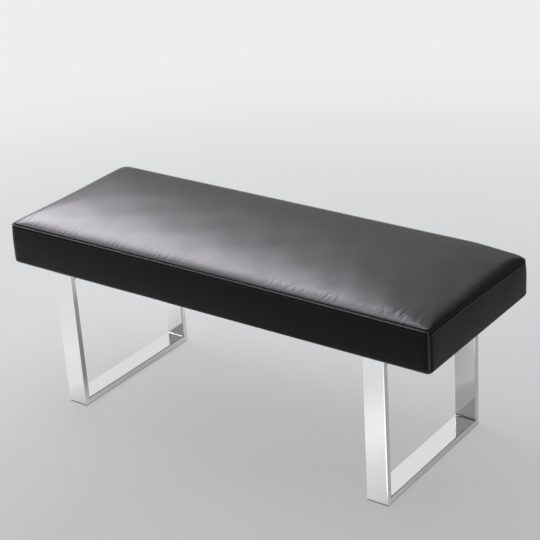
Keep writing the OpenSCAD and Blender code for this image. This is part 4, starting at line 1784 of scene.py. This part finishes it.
@dataclass(frozen=True)
class Studio:
    """A pale floor, soft lights and the camera at the photograph's angle.

    Attributes:
        camera_yaw, camera_pitch, camera_roll: The camera's turns in degrees.
        backdrop, ambient: Colour of the room, and strength of its even light.
        floor_middle, floor_reach, floor_shades: The floor's greys by the distance from a place on it, darker
            near it as painted shade.
        floor_lit: Share of those greys that the lights fall on.
        floor_glow, glow_edge: Share of the floor that glows by itself near the bench, and where that grows.
        leg_place, rail_edge, rail_end, rail_shade: Place, sides, ends and darkness of the painted shadow in
        the gaps under the legs.
        mirrored_shades, mirrored_along, mirrored_reach: Bands of the floor that only reflections show, a
        painted reflection.
        mirrored_share: How far they hide the plain floor.
        bright_middle, bright_edge, bright_gain: A painted highlight in them.
        dark_middle, dark_stretch, dark_shade, dark_edge: A painted shadow in them, under the bench.
        side_shades, front_shades, room_shades: The walls' greys along X, along Y and up, a painted reflection
            that only reflections show.
    """

    camera_place: tuple = (2.051, -2.651, 1.940)
    camera_yaw: float = -37.27
    camera_pitch: float = 24.84
    camera_roll: float = 3.80
    camera_lens: float = 103.13
    sensor: float = 36.0
    clip_end: float = 100.0
    softboxes: tuple = (
        Softbox("back_left_softbox", (-0.78, 0.41, 1.20), (0.0, -0.05, 0.45), (1.29, 0.55), 6.4, roll=-0.79),
        Softbox("overhead_softbox", (-0.02, 0.15, 2.4), (-0.02, 0.151, 0.0), (2.14, 0.83), 4.4),
        Softbox("front_strip", (-1.2, -1.06, 2.0), (0.0, -0.22, 0.46), (2.4, 0.5), 4.0),
    )
    backdrop: tuple = (0.86, 0.87, 0.87)
    ambient: float = 0.40
    floor_half: float = 14.0
    floor_middle: tuple = (0.5, -0.7)
    floor_reach: float = 4.0
    floor_shades: tuple = (
        (0.0, 0.535), (0.15, 0.55), (0.3, 0.625), (0.62, 0.76), (0.84, 0.83), (1.0, 0.86),
    )
    floor_rough: float = 0.6
    floor_ior: float = 1.2
    floor_lit: float = 0.85
    floor_glow: float = 0.78
    glow_edge: tuple = (0.8, 2.4)
    leg_place: float = 450 * MM
    rail_edge: tuple = (24 * MM, 30 * MM)
    rail_end: tuple = (204 * MM, 210 * MM)
    rail_shade: float = 0.2
    mirrored_shades: tuple = (
        (0.0, 0.83), (0.11, 0.88), (0.22, 0.83), (0.42, 0.81), (0.49, 0.98), (0.53, 1.0),
        (0.555, 0.95), (0.585, 0.83), (0.655, 0.70), (0.672, 0.50), (0.70, 0.40), (1.0, 0.36),
    )
    mirrored_share: float = 0.9
    mirrored_along: tuple = (0.9, 0.44)
    mirrored_reach: tuple = (-1.0, 1.0)
    bright_middle: tuple = (0.80, -0.46)
    bright_edge: tuple = (0.35, 0.40)
    bright_gain: float = 3.0
    dark_middle: tuple = (-0.08, 0.0)
    dark_stretch: float = 2.4
    dark_shade: float = 0.28
    dark_edge: tuple = (0.60, 1.27)
    side_shades: tuple = ((0.0, 1.0), (0.42, 1.0), (0.48, 0.2), (1.0, 0.2))
    front_shades: tuple = ((0.0, 0.35), (0.2, 0.35), (0.3, 1.0), (1.0, 1.0))
    room_shades: tuple = ((0.0, 0.45), (0.29, 0.47), (0.40, 0.77), (0.66, 0.80), (0.78, 1.0), (1.0, 1.0))

    def set_camera(self) -> None:
        """Makes the camera from its place, its lens and three turns."""
        yaw, pitch, roll = (math.radians(a) for a in (self.camera_yaw, self.camera_pitch, self.camera_roll))
        flat = math.cos(pitch)
        forward = Vector((math.sin(yaw) * flat, math.cos(yaw) * flat, -math.sin(pitch)))
        level = Vector((math.cos(yaw), -math.sin(yaw), 0.0))
        down = forward.cross(level)
        right = level * math.cos(roll) + down * math.sin(roll)
        below = down * math.cos(roll) - level * math.sin(roll)
        turn = Matrix((right, -below, -forward)).transposed().to_4x4()
        data = bpy.data.cameras.new("photo_camera")
        data.lens = self.camera_lens
        data.sensor_width = self.sensor
        data.clip_end = self.clip_end
        camera = bpy.data.objects.new("photo_camera", data)
        camera.matrix_world = Matrix.Translation(self.camera_place) @ turn
        bpy.context.scene.collection.objects.link(camera)
        bpy.context.scene.camera = camera

    def painted_rail_shadow(self, sheet: NodeSheet, where: Socket) -> Socket:
        """A painted shadow: the floor's brightness, which is low in the narrow gap under the two floor rails.

        Args:
            sheet: The floor's nodes.
            where: The place on the floor.

        Returns:
            The brightness, 1 on the open floor.
        """
        from_rail = sheet.vector("SUBTRACT", sheet.vector("ABSOLUTE", where), (self.leg_place, 0.0, 0.0))
        away = sheet.add("ShaderNodeSeparateXYZ", Vector=sheet.vector("ABSOLUTE", from_rail)).outputs
        beside = sheet.remap(away["X"], self.rail_shade, 1.0, *self.rail_edge)
        beyond = sheet.remap(away["Y"], self.rail_shade, 1.0, *self.rail_end)
        return sheet.number("MAXIMUM", beside, beyond)

    def painted_floor_reflection(self, sheet: NodeSheet, where: Socket) -> Socket:
        """A painted reflection: a glow for the floor as the chrome mirrors it, in bands, with a painted shadow
        under the bench and a painted highlight.

        Args:
            sheet: The floor's nodes.
            where: The place on the floor.

        Returns:
            The glowing shader.
        """
        along = sheet.vector("DOT_PRODUCT", where, (*self.mirrored_along, 0.0))
        bands = sheet.greys(sheet.remap(along, 0.0, 1.0, *self.mirrored_reach), self.mirrored_shades)
        stretch = (self.dark_stretch, self.dark_stretch, 0.0)
        shift = tuple(-place * self.dark_stretch for place in self.dark_middle)
        round_dark = sheet.add("ShaderNodeMapping", Vector=where, Scale=stretch, Location=(*shift, 0.0))
        from_dark = sheet.vector("LENGTH", round_dark.outputs["Vector"])
        from_bright = sheet.vector("DISTANCE", where, (*self.bright_middle, 0.0))
        dark = sheet.remap(from_dark, self.dark_shade, 1.0, *self.dark_edge)
        bright = sheet.remap(from_bright, self.bright_gain, 1.0, *self.bright_edge)
        strength = sheet.number("MULTIPLY", dark, bright)
        return sheet.add("ShaderNodeEmission", Color=bands, Strength=strength).outputs[0]

    def lay_floor(self) -> None:
        """Lays a wide pale floor that keeps part of the bench's shadow and, darker near the bench as painted
        shade, pales into the backdrop.
        """
        sheet = MaterialSheet("pale_floor")
        where = sheet.place()
        from_middle = sheet.vector("DISTANCE", where, (*self.floor_middle, 0.0))
        # Painted shade: the floor's grey is darker near floor_middle, in front of the bench, and pales
        # outward.
        pale = sheet.greys(sheet.remap(from_middle, 0.0, 1.0, 0.0, self.floor_reach), self.floor_shades)
        lit = sheet.scaled(pale, self.floor_lit)
        sheet.finish(Base_Color=lit, Roughness=self.floor_rough, IOR=self.floor_ior)
        # Painted shadow under the floor rails.
        painted_shadow_brightness = self.painted_rail_shadow(sheet, where)
        seen = sheet.add("ShaderNodeEmission", Color=pale, Strength=painted_shadow_brightness).outputs[0]
        path = sheet.add("ShaderNodeLightPath").outputs
        by_ray = sheet.mix(path["Is Glossy Ray"], seen, self.painted_floor_reflection(sheet, where))
        glow = sheet.remap(sheet.vector("LENGTH", where), self.floor_glow, 1.0, *self.glow_edge)
        seen_share = sheet.number("MULTIPLY", glow, path["Is Camera Ray"])
        share = sheet.number("MULTIPLY_ADD", path["Is Glossy Ray"], self.mirrored_share, seen_share)
        floor_shader = sheet.mix(share, sheet.shader.outputs["BSDF"], by_ray)
        sheet.link(floor_shader, sheet.output.inputs["Surface"])
        mesh = bpy.data.meshes.new("studio_floor")
        half = self.floor_half
        corners = [(-half, -half, 0), (half, -half, 0), (half, half, 0), (-half, half, 0)]
        mesh.from_pydata(corners, [], [(0, 1, 2, 3)])
        mesh.materials.append(sheet.material)
        floor = bpy.data.objects.new("studio_floor", mesh)
        bpy.context.scene.collection.objects.link(floor)

    def set_world(self) -> None:
        """Sets a pale room: even light, a pale backdrop for the camera and banded walls that only reflections
        show, a painted reflection with painted shade.
        """
        world = bpy.data.worlds.new("pale_room")
        bpy.context.scene.world = world
        world.use_nodes = True
        sheet = NodeSheet(world.node_tree)
        pale = (*self.backdrop, 1.0)
        light = sheet.add("ShaderNodeBackground", Color=pale, Strength=self.ambient).outputs[0]
        seen = sheet.add("ShaderNodeBackground", Color=pale).outputs[0]
        where = sheet.add("ShaderNodeTexCoord").outputs["Generated"]
        towards = sheet.add("ShaderNodeSeparateXYZ", Vector=where).outputs
        dimmed = []
        # Painted reflection: the walls' greys, dimmed towards +X and towards the front, show only in
        # reflections.
        for axis, stops in (("X", self.side_shades), ("Y", self.front_shades)):
            dimmed.append(sheet.greys(sheet.number("MULTIPLY_ADD", towards[axis], 0.5, 0.5), stops))
        bands = sheet.greys(towards["Z"], self.room_shades)
        strength = sheet.number("MULTIPLY", *dimmed)
        walls = sheet.add("ShaderNodeBackground", Color=bands, Strength=strength).outputs[0]
        path = sheet.add("ShaderNodeLightPath").outputs
        unlit = sheet.number("MAXIMUM", path["Is Camera Ray"], path["Is Glossy Ray"])
        unlit = sheet.number("MAXIMUM", unlit, path["Is Transmission Ray"])
        room = sheet.mix(unlit, light, sheet.mix(path["Is Camera Ray"], walls, seen))
        sheet.add("ShaderNodeOutputWorld", Surface=room)

    def build(self) -> None:
        """Sets the whole studio."""
        self.set_camera()
        self.lay_floor()
        self.set_world()
        for softbox in self.softboxes:
            softbox.hang()
        bpy.context.scene.view_settings.view_transform = "Standard"


def main() -> None:
    """Builds the bench piece by piece, sets the studio and reports what was made."""
    logging.basicConfig(level=logging.INFO, format="%(name)s: %(message)s")
    Studio().build()
    form = PadForm.from_frame()
    # One vinyl in two copies: the seat's reflects more, a painted sheen, and the sides' less, painted shade.
    leather_with_painted_sheen = LeatherLook("black_leather_look_painted_sheen", gloss=0.79).material()
    leather_with_painted_shade = LeatherLook("black_leather_look_painted_shade", gloss=0.12).material()
    thread = Thread("black_thread", (0.030, 0.029, 0.030)).material()
    # Painted highlight: the corner seams' thread is grey rather than black, so that its stitches show as
    # bright dashes.
    heavy_thread = Thread("grey_thread_painted_highlight", (0.24, 0.24, 0.24)).material()
    foam = Padding("cream_foam", (0.80, 0.70, 0.48), (0.70, 0.59, 0.38), 900.0, 0.5 * MM).material()
    wadding = Padding("white_wadding", (0.82, 0.82, 0.80), (0.68, 0.68, 0.66), 260.0, 1.2 * MM).material()
    zinc, chrome = ZincPlate().material(), ChromePlate().material()
    cover = PaddedCover(form, SeamForm(), Gathers(), leather_with_painted_sheen, leather_with_painted_shade)
    for piece in cover.build():
        log.info("cover panel %s: %d faces", piece.name, len(piece.data.polygons))
    for piece in Stitching(cover, thread, heavy_thread).build():
        log.info("thread %s: %d faces", piece.name, len(piece.data.polygons))
    for piece in PadFilling(form, foam, wadding).build():
        log.info("filling %s: %d faces", piece.name, len(piece.data.polygons))
    log.info("underside: %s", DustCover(DustCloth().material()).build().name)
    carried = (
        CarriedNodes(chrome, both("front_post", "rear_post", "floor_rail", "top_rail")),
        CarriedNodes(MouldedPlastic().material(), both("floor_glides")),
        CarriedNodes(zinc, both("leg_bolts", "washers", "spring_washers", "tee_nuts")),
        CarriedNodes(zinc, ("deck_screws", "frame_screws", "staples")),
        CarriedNodes(Timber(Grain.ALONG_BENCH).material(),
                     ("frame_front_rail", "frame_rear_rail", "corner_blocks")),
        CarriedNodes(Timber(Grain.FRONT_TO_BACK).material(),
                     ("frame_left_end_rail", "frame_right_end_rail", "frame_centre_rail",
                      "frame_left_leg_rail", "frame_right_leg_rail")),
        CarriedNodes(Plywood().material(), ("seat_deck",)),
    )
    for group in carried:
        for piece in group.build():
            log.info("carried over: %s in %s", piece.name, group.finish.name)


if __name__ == "__main__":
    main()
